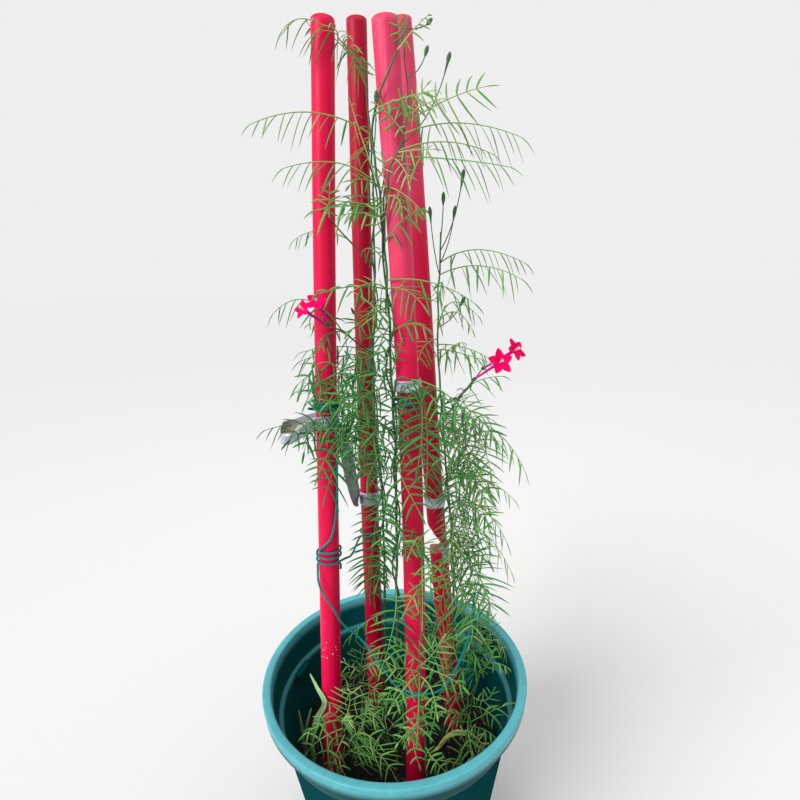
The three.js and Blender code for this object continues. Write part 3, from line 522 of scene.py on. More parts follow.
def evenly(path, count):
    steps = np.linalg.norm(np.diff(path, axis=0), axis=1)
    along = np.concatenate(([0], np.cumsum(steps)))
    wanted = np.linspace(0, along[-1], count)
    return np.column_stack([np.interp(wanted, along, path[:, k]) for k in range(3)])


def pointAt(path, share):
    place = share * (len(path) - 1)
    low = min(int(place), len(path) - 2)
    return path[low] + (path[low + 1] - path[low]) * (place - low)


# Rings of points round a nearly upright path. radiusAt takes the heading and the ring's centre.
def uprightRings(path, sides, radiusAt):
    tangents = np.gradient(path, axis=0)
    rings = []
    for centre, ahead in zip(path, tangents):
        ahead = unit(ahead)
        side = unit(np.array((1.0, 0, 0)) - ahead * ahead[0])
        back = np.cross(ahead, side)
        angles = np.arange(sides) * 2 * math.pi / sides
        for a in angles:
            rings.append(centre + radiusAt(a, centre) * (math.cos(a) * side + math.sin(a) * back))
    return rings


def ringFaces(rows, sides, capLow=True, capHigh=True):
    faces = []
    for i in range(rows - 1):
        for k in range(sides):
            a, b = i * sides + k, i * sides + (k + 1) % sides
            faces.append((a, b, b + sides, a + sides))
    if capLow:
        faces.append(tuple(reversed(range(sides))))
    if capHigh:
        faces.append(tuple((rows - 1) * sides + k for k in range(sides)))
    return faces


def wobble(x, y, z, scale):
    return noise.noise(Vector((x, y, z)) * scale)


# Geometry Nodes trees.
def newTree(name, inputs):
    # an empty tree with its entry and its way out
    tree = bpy.data.node_groups.new(name, "GeometryNodeTree")
    tree.interface.new_socket("Geometry", in_out="INPUT", socket_type="NodeSocketGeometry")
    for label, kind, value in inputs:
        socket = tree.interface.new_socket(label, in_out="INPUT", socket_type="NodeSocket" + kind)
        if value is not None:
            socket.default_value = value
    tree.interface.new_socket("Geometry", in_out="OUTPUT", socket_type="NodeSocketGeometry")
    return tree, addNode(tree, "NodeGroupInput"), addNode(tree, "NodeGroupOutput")


def addAll(tree, *kinds):
    return [addNode(tree, "GeometryNode" + kind) for kind in kinds]


def named(tree, name, kind="FLOAT"):
    node = addNode(tree, "GeometryNodeInputNamedAttribute", data_type=kind)
    node.inputs["Name"].default_value = name
    return node


chanceSockets = {"low": 2, "high": 3, "number": 1}  # where a Random Value node keeps its plain numbers


def threadTree():
    # round threads along the edges of a mesh, each point's own radius in its attribute thick
    tree, entry, leave = newTree("threadsAlongEdges", (
        ("Sides", "Int", 6), ("Thickness", "Float", 1.0), ("Material", "Material", None),
    ))
    curve, ring, skin, smooth, real, look = addAll(
        tree, "MeshToCurve", "CurvePrimitiveCircle", "CurveToMesh", "SetShadeSmooth", "RealizeInstances",
        "SetMaterial",
    )
    scaled = addNode(tree, "ShaderNodeMath", operation="MULTIPLY")
    ring.inputs["Radius"].default_value = 1.0
    skin.inputs["Fill Caps"].default_value = True
    wireUp(
        tree, (entry, "Geometry", curve, "Mesh"), (named(tree, "thick"), "Attribute", scaled, 0),
        (entry, "Thickness", scaled, 1), (scaled, 0, skin, "Scale"), (entry, "Sides", ring, "Resolution"),
        (curve, "Curve", skin, "Curve"), (ring, "Curve", skin, "Profile Curve"),
        (skin, "Mesh", smooth, "Geometry"), (smooth, "Geometry", real, "Geometry"),
        (real, "Geometry", look, "Geometry"), (entry, "Material", look, "Material"),
        (look, "Geometry", leave, "Geometry"),
    )
    return tree


def lobeTree():
    # a lobe on every point: its attributes turn it and give its reach, its width and the sag it bends towards
    tree, entry, leave = newTree("lobesOnPoints", (
        ("Lobe", "Object", None), ("Width", "Float", 0.8 * mm), ("Width variation", "Float", 0.2),
        ("Seed", "Int", 3), ("Material", "Material", None),
    ))
    lobe, place, real, move, smooth, look = addAll(
        tree, "ObjectInfo", "InstanceOnPoints", "RealizeInstances", "SetPosition", "SetShadeSmooth",
        "SetMaterial",
    )
    chance, size = addNode(tree, "FunctionNodeRandomValue"), addNode(tree, "ShaderNodeCombineXYZ")
    bend = addNode(tree, "ShaderNodeVectorMath", operation="SCALE")
    along, reach, wide = (named(tree, name) for name in ("along", "reach", "wide"))
    turn, sag = named(tree, "turn", "FLOAT_VECTOR"), named(tree, "sag", "FLOAT_VECTOR")
    low, high, width, broad, squared = (
        addNode(tree, "ShaderNodeMath", operation=kind) for kind in ("SUBTRACT", "ADD", *["MULTIPLY"] * 3)
    )
    low.inputs[0].default_value = high.inputs[0].default_value = 1.0
    wireUp(
        tree, (entry, "Width variation", low, 1), (entry, "Width variation", high, 1),
        (low, 0, chance, chanceSockets["low"]), (high, 0, chance, chanceSockets["high"]),
        (entry, "Seed", chance, "Seed"), (chance, chanceSockets["number"], width, 0),
        (entry, "Width", width, 1), (reach, "Attribute", size, 0), (width, 0, broad, 0),
        (wide, "Attribute", broad, 1), (broad, 0, size, 1), (broad, 0, size, 2),
        (entry, "Lobe", lobe, "Object"), (entry, "Geometry", place, "Points"),
        (lobe, "Geometry", place, "Instance"),
        (turn, "Attribute", place, "Rotation"), (size, 0, place, "Scale"),
        (place, "Instances", real, "Geometry"), (along, "Attribute", squared, 0),
        (along, "Attribute", squared, 1), (sag, "Attribute", bend, 0),
        (squared, 0, bend, "Scale"), (real, "Geometry", move, "Geometry"), (bend, "Vector", move, "Offset"),
        (move, "Geometry", smooth, "Geometry"), (smooth, "Geometry", look, "Geometry"),
        (entry, "Material", look, "Material"), (look, "Geometry", leave, "Geometry"),
    )
    return tree


def scatterTree():
    # copies of a small shape strewn over a surface
    tree, entry, leave = newTree("strewnOverSurface", (
        ("Shape", "Object", None), ("Density", "Float", 50000.0), ("Smallest", "Float", 0.5),
        ("Largest", "Float", 1.0), ("Seed", "Int", 1), ("Material", "Material", None),
    ))
    strew, shape, place, store, real, look = addAll(
        tree, "DistributePointsOnFaces", "ObjectInfo", "InstanceOnPoints", "StoreNamedAttribute",
        "RealizeInstances", "SetMaterial",
    )
    size, spin, tint = (addNode(tree, "FunctionNodeRandomValue") for _ in range(3))
    spin.data_type = "FLOAT_VECTOR"
    spin.inputs[1].default_value = (6.28, 6.28, 6.28)
    store.data_type, store.domain = "FLOAT", "INSTANCE"
    store.inputs["Name"].default_value = "tint"
    number = chanceSockets["number"]
    wireUp(
        tree, (entry, "Geometry", strew, "Mesh"), (entry, "Density", strew, "Density"),
        (entry, "Seed", strew, "Seed"), (entry, "Shape", shape, "Object"), (strew, "Points", place, "Points"),
        (shape, "Geometry", place, "Instance"), (entry, "Smallest", size, chanceSockets["low"]),
        (entry, "Largest", size, chanceSockets["high"]),
        *[(entry, "Seed", chance, "Seed") for chance in (size, spin, tint)], (size, number, place, "Scale"),
        (spin, 0, place, "Rotation"), (place, "Instances", store, "Geometry"), (tint, number, store, "Value"),
        (store, "Geometry", real, "Geometry"), (real, "Geometry", look, "Geometry"),
        (entry, "Material", look, "Material"), (look, "Geometry", leave, "Geometry"),
    )
    return tree


threads, lobes, strewn = threadTree(), lobeTree(), scatterTree()


def grown(piece, tree, values):
    # runs a tree on a piece and leaves the piece with the plain mesh that comes out
    modifier = piece.modifiers.new(tree.name, "NODES")
    modifier.node_group = tree
    for item in tree.interface.items_tree:
        if item.item_type == "SOCKET" and item.in_out == "INPUT" and item.name in values:
            modifier[item.identifier] = values[item.name]
    bake(piece)
    piece.data.name = piece.name
    return piece


def threadPiece(name, strands, look, sides=6, thickness=1.0):
    # strands: (points, radii, tint) each
    points, edges, thick, tint = [], [], [], []
    for path, radii, shade in strands:
        first = len(points)
        points.extend(np.asarray(path) * mm)
        edges.extend((first + i, first + i + 1) for i in range(len(path) - 1))
        thick.extend(np.broadcast_to(np.asarray(radii, dtype=float), len(path)) * mm)
        tint.extend(np.broadcast_to(np.asarray(shade, dtype=float), len(path)))
    mesh = bpy.data.meshes.new(name)
    mesh.from_pydata([tuple(p) for p in points], edges, [])
    addLayers(mesh, {"thick": thick, "tint": tint})
    return grown(newObject(name, mesh), threads, {"Sides": sides, "Thickness": thickness, "Material": look})


# The pot: a turned shell with its rim, ledge and stacking lugs, and drain holes in its floor.
potSizes = {
    "height": 260.0, "rim": 150.0, "face": 10.0, "skirt": 15.0, "ledgeDepth": 38.5, "wall": 2.2, "base": 94.0,
    "floor": 3.0, "wallTop": 131.5, "ledge": 133.8, "holes": 8, "holeRadius": 6.0, "holeCircle": 62.0,
    "lugHeadings": (-20, 70, 160, 250), "lugWidth": 26.0, "lugDepth": 8.0, "sides": 160,
    "hub": 12, "longestRow": 4.0, "faceThickness": 2.5,
}
ledgeHeight = potSizes["height"] - potSizes["ledgeDepth"]


def innerWallAt(height):
    s = potSizes
    return s["base"] + (s["wallTop"] - s["base"]) / ledgeHeight * height - s["wall"]


def latheFaces(rows, sides):
    return [
        (i * sides + k, i * sides + (k + 1) % sides, (i + 1) * sides + (k + 1) % sides, (i + 1) * sides + k)
        for i in range(rows - 1) for k in range(sides)
    ]


def roundedProfile(corners, steps=4):
    # each corner is (radius, height, round); the round is cut with a short arc
    out = []
    for i, (r, z, bend) in enumerate(corners):
        here = np.array((r, z), dtype=float)
        if bend <= 0 or i in (0, len(corners) - 1):
            out.append(here)
            continue
        before = np.array(corners[i - 1][:2], dtype=float) - here
        after = np.array(corners[i + 1][:2], dtype=float) - here
        cut = min(bend, 0.45 * np.linalg.norm(before), 0.45 * np.linalg.norm(after))
        start, end = here + unit(before) * cut, here + unit(after) * cut
        for t in np.linspace(0, 1, steps):
            out.append(arc(start, here, end, t))
    return out


def finer(profile, longest):
    # extra rows keep the colour masks sharp
    out = [profile[0]]
    for a, b in zip(profile, profile[1:]):
        parts = max(1, math.ceil(math.dist(a, b) / longest))
        for i in range(1, parts + 1):
            out.append((a[0] + (b[0] - a[0]) * i / parts, a[1] + (b[1] - a[1]) * i / parts))
    return out


def makePot(s):
    under = s["height"] - s["faceThickness"]
    # down the inside from the holed floor's edge, out over the rim and down the outside
    profile = roundedProfile([
        (s["hub"], s["floor"], 0), (innerWallAt(s["floor"]), s["floor"], 3),
        (innerWallAt(ledgeHeight), ledgeHeight, 1.2), (s["ledge"], ledgeHeight + 0.6, 1.2),
        (s["rim"] - s["face"], s["height"] - 0.6, 2.2),
        (s["rim"] - 0.7, s["height"], 2.4), (s["rim"] - 2.4, s["height"] - s["skirt"], 1.0),
        (s["rim"] - 4.8, s["height"] - s["skirt"], 0.8), (s["rim"] - 2.9, under, 0.6),
        (s["rim"] - s["face"] + s["wall"], under, 0.8), (s["ledge"] + s["wall"], ledgeHeight, 2.0),
        (s["wallTop"], ledgeHeight - 3, 1.2), (s["base"], 3, 2.4), (s["base"] - 3, 0, 1.6), (s["hub"], 0, 0),
    ])
    inner, outer = (s["hub"], s["floor"]), (s["hub"], 0)
    profile = finer([inner] + [tuple(p) for p in profile[1:-1]] + [outer], s["longestRow"])
    sides = s["sides"]
    points = [
        (r * math.cos(2 * math.pi * k / sides), r * math.sin(2 * math.pi * k / sides), z)
        for r, z in profile for k in range(sides)
    ]
    rows = len(profile)
    faces = [tuple(reversed(f)) for f in latheFaces(rows, sides)]
    centreTop, centreLow = len(points), len(points) + 1
    points += [(0, 0, s["floor"]), (0, 0, 0)]
    for k in range(sides):
        faces.append((centreTop, k, (k + 1) % sides))
        low = (rows - 1) * sides
        faces.append((centreLow, low + (k + 1) % sides, low + k))
    dirt, faded = [], []
    for x, y, z in points:
        r, wall = math.hypot(x, y), innerWallAt(max(z, 0)) + 1
        dirt.append(float(z < ledgeHeight - 6 and r > wall))
        # painted light: a painted highlight on the ledge, painted shade on the inner wall and more on the
        # outer wall, and the rim's face painted lit
        onLedge = abs(z - ledgeHeight) < 1.4 and r < s["ledge"] + 1
        inside = 0.5 if onLedge else 0.2 * (r < wall or z > ledgeHeight)
        faded.append(max(inside, min(1.0, (z - s["height"] + 12.5) / 4)))  # the rim's face is painted lit
    pot = newPiece("nurseryPot", points, faces, [potTeal], values={"dirt": dirt, "faded": faded})
    drillFloor(pot, s)
    return pot


def drillFloor(pot, s):
    cutters, round24 = [], np.arange(24) * math.pi / 12
    for i in range(s["holes"]):
        angle = 2 * math.pi * (i + 0.5) / s["holes"]
        x, y = s["holeCircle"] * math.cos(angle), s["holeCircle"] * math.sin(angle)
        ring = [(x + s["holeRadius"] * math.cos(a), y + s["holeRadius"] * math.sin(a)) for a in round24]
        points = [(a, b, z) for z in (-8, 12) for a, b in ring]
        cutters.append(newPiece(f"drainCutter{i}", points, ringFaces(2, 24), [potTeal], smooth=False))
    cutOut(pot, cutters)


def makeLug(s, index, heading):
    # a block under the ledge with softened edges, sunk a little into the wall
    inner, outer = innerWallAt(ledgeHeight) - s["lugDepth"] + 0.5, innerWallAt(ledgeHeight) + 0.8
    high, low, half = ledgeHeight + 0.1, ledgeHeight - s["lugDepth"], s["lugWidth"] / 2
    cosine, sine = math.cos(math.radians(heading)), math.sin(math.radians(heading))
    box = [(x, y, z) for x in (inner, outer) for y in (-half, half) for z in (low, high)]
    points = [(x * cosine - y * sine, x * sine + y * cosine, z) for x, y, z in box]
    faces = [(0, 1, 3, 2), (4, 6, 7, 5), (0, 4, 5, 1), (2, 3, 7, 6), (1, 5, 7, 3), (0, 2, 6, 4)]
    lug = newPiece(f"stackingLug{index}", points, faces, [potTeal], smooth=False)
    soft = lug.modifiers.new("softEdge", "BEVEL")
    soft.width, soft.segments = 0.8 * mm, 2
    return lug


pot = makePot(potSizes)
finishPiece(pot, "pot", "pot")
for index, heading in enumerate(potSizes["lugHeadings"]):
    finishPiece(makeLug(potSizes, index + 1, heading), "pot")
print("pot turned")


# The soil: a lumpy crown with crumbs and dry bits strewn over it.
soilSizes = {
    "top": 160.0, "crown": 4.0, "lump": 2.6, "bottom": 3.4, "gap": 0.4, "rings": 46, "spokes": 120,
    "crumbs": {"Density": 62000.0, "Smallest": 0.5, "Largest": 1.7, "Seed": 4},
    "bits": {"Density": 5200.0, "Smallest": 0.5, "Largest": 1.4, "Seed": 9},
}
soilEdge = innerWallAt(soilSizes["top"]) - soilSizes["gap"]


def soilHeightAt(x, y):
    s, r = soilSizes, math.hypot(x, y)
    lumps = wobble(x, y, 3.0, 0.035) + 0.6 * wobble(x, y, 9.0, 0.11) + 0.35 * wobble(x, y, 5.0, 0.3)
    edge = clamp((soilEdge - r) / 12)  # flatter close to the wall
    return s["top"] + s["crown"] * (1 - r / soilEdge) + s["lump"] * lumps * (0.35 + 0.65 * edge)


def makeSoil(s):
    spokes, points = s["spokes"], []
    headings = [2 * math.pi * k / spokes for k in range(spokes)]
    for i in range(1, s["rings"] + 1):
        r = soilEdge * i / s["rings"]
        for a in headings:
            x, y = r * math.cos(a), r * math.sin(a)
            points.append((x, y, soilHeightAt(x, y)))
    faces = [tuple(reversed(f)) for f in latheFaces(s["rings"], spokes)]
    top = len(points)
    points.append((0, 0, soilHeightAt(0, 0)))
    faces += [(top, k, (k + 1) % spokes) for k in range(spokes)]
    lowRing, rim = len(points), (s["rings"] - 1) * spokes
    radius = innerWallAt(s["bottom"]) - s["gap"]
    points += [(radius * math.cos(a), radius * math.sin(a), s["bottom"]) for a in headings]
    for k in range(spokes):
        n = (k + 1) % spokes
        faces.append((rim + n, rim + k, lowRing + k, lowRing + n))
    faces.append(tuple(lowRing + k for k in reversed(range(spokes))))
    return newPiece("pottingSoil", points, faces, [darkSoil])


soil = makeSoil(soilSizes)
finishPiece(soil, "soil", "soil")


def strewnPiece(name, shape, settings, look):
    # only the soil's top face is strewn
    places = [tuple(v.co) for v in soil.data.vertices]
    keep = [
        tuple(p.vertices) for p in soil.data.polygons
        if p.normal.z > 0.3 and math.hypot(p.center.x, p.center.y) < (soilEdge - 5) * mm
    ]
    top = bpy.data.meshes.new(name)
    top.from_pydata(places, [], keep)
    piece = grown(newObject(name, top), strewn, {**settings, "Shape": shape, "Material": look})
    bpy.data.objects.remove(shape)
    return piece


def crumbShape():
    # a rough lump of 20 faces, about 2.4 mm across
    rng = random.Random(11)
    t = (1 + math.sqrt(5)) / 2
    corners = [
        (-1, t, 0), (1, t, 0), (-1, -t, 0), (1, -t, 0), (0, -1, t), (0, 1, t),
        (0, -1, -t), (0, 1, -t), (t, 0, -1), (t, 0, 1), (-t, 0, -1), (-t, 0, 1),
    ]
    faces = [
        (0, 11, 5), (0, 5, 1), (0, 1, 7), (0, 7, 10), (0, 10, 11), (1, 5, 9), (5, 11, 4), (11, 10, 2),
        (10, 7, 6), (7, 1, 8), (3, 9, 4), (3, 4, 2), (3, 2, 6), (3, 6, 8), (3, 8, 9), (4, 9, 5),
        (2, 4, 11), (6, 2, 10), (8, 6, 7), (9, 8, 1),
    ]
    points = [[v * rng.uniform(0.5, 0.78) for v in c] for c in corners]
    return newPiece("crumb", points, faces, [soilCrumb], smooth=True)


def splinterShape():
    # a flat splinter 9 mm long
    points = [(-4.5, 0, 0), (0, 0.55, 0.15), (4.5, 0.1, 0.5), (0, -0.55, -0.1), (0, 0.1, 0.5)]
    faces = [(0, 3, 4), (3, 2, 4), (2, 1, 4), (1, 0, 4), (0, 1, 2, 3)]
    return newPiece("splinter", points, faces, [driedBits], smooth=False)


finishPiece(strewnPiece("soilCrumbs", crumbShape(), soilSizes["crumbs"], soilCrumb), "soil")
finishPiece(strewnPiece("dryBits", splinterShape(), soilSizes["bits"], driedBits), "soil")
print("soil laid and strewn")


# The stakes, in mm from buried foot to top.
stakeSizes = {
    "radius": 10.5, "sides": 56, "rows": 150, "bow": 0.12, "slack": (0.35, 0.45), "filmRise": 150,
    "filmPale": (0.82, 0.3), "filmLightens": 0.6, "creaseDepth": 0.75, "creaseWidth": 5.0, "creasePaintedShade": 0.32,
    "creasesMeet": 780,
    "axes": {
        "stake_left": [(-75, -51, 75), (-72, -45, 160), (-52, -12, 677), (-40, 0, 915)],
        "stake_back": [(-28, 45, 30), (-27, 52, 157), (-22, 65, 596), (-15, 80, 950)],
        "stake_front": [(16, -80, 45), (20, -72, 165), (25, -50, 493), (21, -40, 719), (14, -35, 898)],
        "stake_right": [(76, 4, 30), (71, 12, 148), (52, 40, 453), (41, 55, 724), (29, 60, 940)],
    },
    # loose film at the top: the height where it starts, and its creases as (heading, drift per mm)
    "film": {
        "stake_front": (600, ((-118, 0.11), (-62, -0.09), (70, 0.03))),
        "stake_right": (690, ((-112, -0.12), (-70, 0.06), (100, 0.03))),
    },
    "worn": {"stake_left": (290, 350)},
    # painted shade on each stake's red at these heights, darkest where leaves and the stakes in front shade
    # it
    "shadeDepthHeights": (230, 300, 390, 430, 595, 605),
    "deep": {
        "stake_left": (0.0, 0.1, 0.1, 0.16, 0.16, 0.14), "stake_front": (0.0, 0.3, 0.25, 0.75, 0.9, 0.0),
        "stake_back": (0.5, 0.85, 0.85, 0.95, 0.95, 0.85), "stake_right": (0.5, 0.75, 0.75, 0.8, 0.75, 0.35),
    },
    "break": {
        "node": "stake_right", "low": 388.0, "high": 424.0, "bridge": 4.5, "outside": -16, "depth": 21,
        "lip": 8.0, "jag": 1.2,
    },
}
stakePaths = {name: smoothPath(points, 240) for name, points in stakeSizes["axes"].items()}


def axisAt(path, height):
    return np.array([np.interp(height, path[:, 2], path[:, k]) for k in range(3)])


def headingGap(a, b):
    return (a - b + 180) % 360 - 180


def makeStake(name):
    s = stakeSizes
    path = evenly(stakePaths[name], s["rows"])
    filmFrom, creases = s["film"].get(name, (9999, ()))
    seed = 10.0 * len(name) + ord(name[6])

    def filmShare(z):
        t = clamp((z - filmFrom) / s["filmRise"])
        return t * t * (3 - 2 * t)

    def roundNoise(angle, turns, shift, z):
        return wobble(math.cos(angle) * turns + shift[0], math.sin(angle) * turns + shift[1], z, 1.0)

    def creaseAt(angle, z):
        degrees = math.degrees(angle)
        # how deep the creases are here; this dents the film and sets the painted shade along each fold
        deep = 0.0
        for heading, drift in creases:
            drifted = heading + drift * (z - s["creasesMeet"]) + 5 * wobble(seed, heading, z, 0.02)
            away = headingGap(degrees, drifted) / s["creaseWidth"]
            deep += math.exp(-(away**2)) * (0.6 + 0.6 * wobble(seed, heading, z, 0.035))
        return deep * filmShare(z)

    def radiusAt(angle, centre):
        z, (even, uneven) = centre[2], s["slack"]
        bow = s["bow"] * roundNoise(angle, 2, (seed, 0), z * 0.01)
        slack = filmShare(z) * (even + uneven * roundNoise(angle, 3, (0, seed), z * 0.02))
        return s["radius"] + bow + slack - s["creaseDepth"] * creaseAt(angle, z)

    points = uprightRings(path, s["sides"], radiusAt)
    angles = np.tile(np.arange(s["sides"]) * 2 * math.pi / s["sides"], len(path))
    heights = np.repeat(path[:, 2], s["sides"])
    low, high = s["worn"].get(name, (0, 0))
    even, uneven = s["filmPale"]
    values = {"pale": [], "crease": [], "worn": [], "deep": []}
    for a, z in zip(angles, heights):
        film = filmShare(z)
        values["pale"].append(film * (even + uneven * wobble(math.cos(a) * 2, seed, z * 0.02, 1.0)))
        # painted shade along the creases
        values["crease"].append(s["creasePaintedShade"] * creaseAt(a, z))
        values["worn"].append(1.0 if low < z < high else 0.0)
        # painted shade from the table, lighter under the loose film
        deep = float(np.interp(z, s["shadeDepthHeights"], s["deep"][name]))
        values["deep"].append(deep * (1 - s["filmLightens"] * film))
    label, faces = name.replace("stake_", "") + "Stake", ringFaces(len(path), s["sides"])
    return newPiece(label, points, faces, [redStakeCoat, stakeCore], values=values)


def breakStake(piece):
    # the ragged wedge out of the right stake, cut with a boolean
    s = stakeSizes["break"]
    seat = axisAt(stakePaths[s["node"]], s["low"])
    rng = random.Random(6)
    bridge, side, lip, rise = s["bridge"], s["outside"], s["lip"], s["high"] - s["low"]
    outline = [(side, 0)]
    outline += [(x, rng.uniform(-1.0, 1.6)) for x in (-12, -9, -6, -3, 0, 2.5)]
    outline += [(bridge, 1.0), (bridge + 0.3, lip)]
    for t in (0.15, 0.3, 0.45, 0.6, 0.75, 0.9):
        jag = rng.uniform(-s["jag"], s["jag"])
        outline.append((bridge + (side - bridge) * t, lip + (rise - lip) * t + jag))
    outline.append((side, rise))
    walls = (-s["depth"], s["depth"])
    points = [(seat[0] + x, seat[1] + y, seat[2] + z) for y in walls for x, z in outline]
    count = len(outline)
    faces = [tuple(range(count)), tuple(reversed(range(count, 2 * count)))]
    faces += [(i, i + count, (i + 1) % count + count, (i + 1) % count) for i in range(count)]
    cutter = newPiece("wedgeCutter", points, faces, [stakeCore], smooth=False)
    cutOut(piece, [cutter], "TRANSFER")


for name in stakeSizes["axes"]:
    stake = makeStake(name)
    if name == stakeSizes["break"]["node"]:
        breakStake(stake)
    finishPiece(stake, "stake", name)
print("stakes set")


# Tape: wound bands, the patch over the break, the loose loop and the strip.
bandSizes = {
    "bore": 10.9, "ply": 0.6, "sides": 96, "rows": 15,
    "plies": 3,
    "bands": {
        "tape_front": {"stake": "stake_front", "height": 599, "width": 11, "seed": 2.0, "shine": 0.75},
        "tape_back": {"stake": "stake_back", "height": 444, "width": 16, "seed": 5.0, "shine": 0.1},
        "tape_right": {"stake": "stake_right", "height": 446, "width": 12, "seed": 8.0, "shine": 0.5},
    },
}


def makeBand(name, s, b):
    path = stakePaths[b["stake"]]
    half, seed, sides = b["width"] / 2, b["seed"], s["sides"]
    # round the band's section: the share of its half width, and whether it's the outside
    section = [(-1 + 2 * i / (s["rows"] - 1), True) for i in range(s["rows"])] + [(1, False), (-1, False)]
    points, shine = [], []
    for share, out in section:
        for k in range(sides):
            a = 2 * math.pi * k / sides
            x, y = math.cos(a), math.sin(a)
            # painted highlight across each band, strongest a little below its middle
            shine.append(b["shine"] * clamp(1 - abs(share + 0.25) ** 2 * 1.5))
            lean = 0.9 * math.sin(a + seed) + 0.5 * wobble(x * 2, y * 2, seed, 1.3)
            height = b["height"] + share * half + lean * (0.6 if out else 0.4)
            radius = s["bore"]
            if out:
                step = wobble(x * 1.5, y * 1.5, share * 1.1 + seed, 1.0) + 0.25 * share > 0
                crinkle = 0.28 * wobble(x * 6, y * 6, share * 1.4 + seed * 3, 1.0)
                radius += s["ply"] * (s["plies"] - 1 + 0.7 * step) + crinkle - 0.45 * abs(share) ** 6
            points.append(axisAt(path, height) + np.array((radius * x, radius * y, 0)))
    count, faces = len(section), []
    for i in range(count):
        row, above = i * sides, ((i + 1) % count) * sides
        faces += [(row + k, row + (k + 1) % sides, above + (k + 1) % sides, above + k) for k in range(sides)]
    return newPiece(name, points, faces, [greyTape], values={"shine": shine})


for node, b in bandSizes["bands"].items():
    finishPiece(makeBand(node.replace("tape_", "") + "TapeBand", bandSizes, b), "tape", node)


def bothFaces(grid, normals, thickness):
    # the points of a grid moved half its thickness out and in
    normals /= np.maximum(np.linalg.norm(normals, axis=2, keepdims=True), 1e-9)
    outer, inner = grid + normals * thickness / 2, grid - normals * thickness / 2
    return np.vstack((outer.reshape(-1, 3), inner.reshape(-1, 3)))


# A flat sheet of tape with thickness, from a grid of points, row by row.
def sheetPiece(name, grid, thickness):
    g = np.array(grid, dtype=float)
    rows, cols = g.shape[:2]
    points = bothFaces(g, np.cross(np.gradient(g, axis=1), np.gradient(g, axis=0)), thickness)
    back, faces = rows * cols, []
    for i in range(rows - 1):
        for k in range(cols - 1):
            a = i * cols + k
            quad = (a, a + 1, a + cols + 1, a + cols)
            faces += [quad, tuple(back + v for v in reversed(quad))]
    border = [(0, k) for k in range(cols)] + [(i, cols - 1) for i in range(1, rows)]
    border += [(rows - 1, k) for k in range(cols - 2, -1, -1)] + [(i, 0) for i in range(rows - 2, 0, -1)]
    ring = [i * cols + k for i, k in border]
    faces += [(b, a, back + a, back + b) for a, b in zip(ring, ring[1:] + ring[:1])]
    return newPiece(name, points, faces, [greyTape])


patchSizes = {
    "height": 385.0, "width": 16.0, "from": -76.0, "to": 76.0, "radius": 11.6, "thickness": 0.9,
    "rows": 12, "cols": 40,
}


def makePatch(s):
    grid = []
    for share in np.linspace(0, 1, s["rows"]):
        centre = axisAt(stakePaths["stake_right"], s["height"] + (share - 0.5) * s["width"])
        row = []
        for a in np.radians(np.linspace(s["from"], s["to"], s["cols"])):
            radius = s["radius"] + 0.25 * wobble(math.cos(a) * 5, math.sin(a) * 5, share * 2, 1.0)
            row.append(centre + np.array((radius * math.cos(a), radius * math.sin(a), 0)))
        grid.append(row)
    return sheetPiece("breakPatch", grid, s["thickness"])


finishPiece(makePatch(patchSizes), "tape", "tape_patch")

loopSizes = {
    "height": 554.0, "width": 18.0, "snug": 13.0, "snugRise": 7.0, "foldedDown": 0.8, "reach": 46.0,
    "end": 14.0, "thickness": 1.1, "rows": 150, "cols": 11,
}


def makeLoop(s):
    radius = bandSizes["bore"] + 0.9
    middle = s["end"] - s["reach"]
    outline = []
    for a in np.radians(np.linspace(-100, 100, 31)):
        outline.append((radius * math.cos(a), radius * math.sin(a), 0.0))
    for a in np.radians(np.linspace(90, 270, 25)):
        outline.append((middle + s["end"] * math.cos(a), s["end"] * math.sin(a), 0.0))
    outline.append(outline[0])
    flat = evenly(np.array(outline), s["rows"])
    path = stakePaths["stake_left"]
    seat = axisAt(path, s["height"])
    lean = (axisAt(path, s["height"] + 20) - axisAt(path, s["height"] - 20)) / 40
    grid, bare, shine, cols = [], [], [], s["cols"]
    for x, y in flat[:, :2]:
        loose = clamp((-x - 8) / 25)  # how far this point is from the stake
        front = loose * clamp(0.5 - y / 12)  # the near side hangs with its upper edge folded down
        width = s["snug"] + (s["width"] - s["snug"]) * loose
        row = []
        for i in range(cols):
            share = i / (cols - 1) - 0.5
            rise = share * width * (1 - s["foldedDown"] * front * (share > 0))
            bulge = loose * (1.2 * math.cos(share * 3.0) + 1.1 * wobble(x * 0.08, y * 0.08, share * 2.2, 1.0))
            out = unit(np.array((x - middle * 0.6, y, 0.0)))
            drop = loose * 0.09 * (-x) - s["snugRise"] * (1 - loose) - 0.5 * loose * wobble(x, y, share, 0.15)
            row.append(seat + np.array((x, y, 0.0)) + out * bulge * 0.7 + lean * rise - up * drop)
            # the beige backing shows along the lower edge of the loose loop, where light reaches the inside;
            # the rest of the inside is painted shade
            bare.append(loose * clamp(0.55 - share * 4))
            # painted highlight at the loop's left end
            shine.append(max(0.0, 1 - math.hypot(x + s["reach"], y + 4) / 16))
        grid.append(row)
    bare, shine = bare[:-cols] * 2, shine[:-cols] * 2
    return loopMesh("looseTapeLoop", grid, s["thickness"], {"bare": bare, "shine": shine})


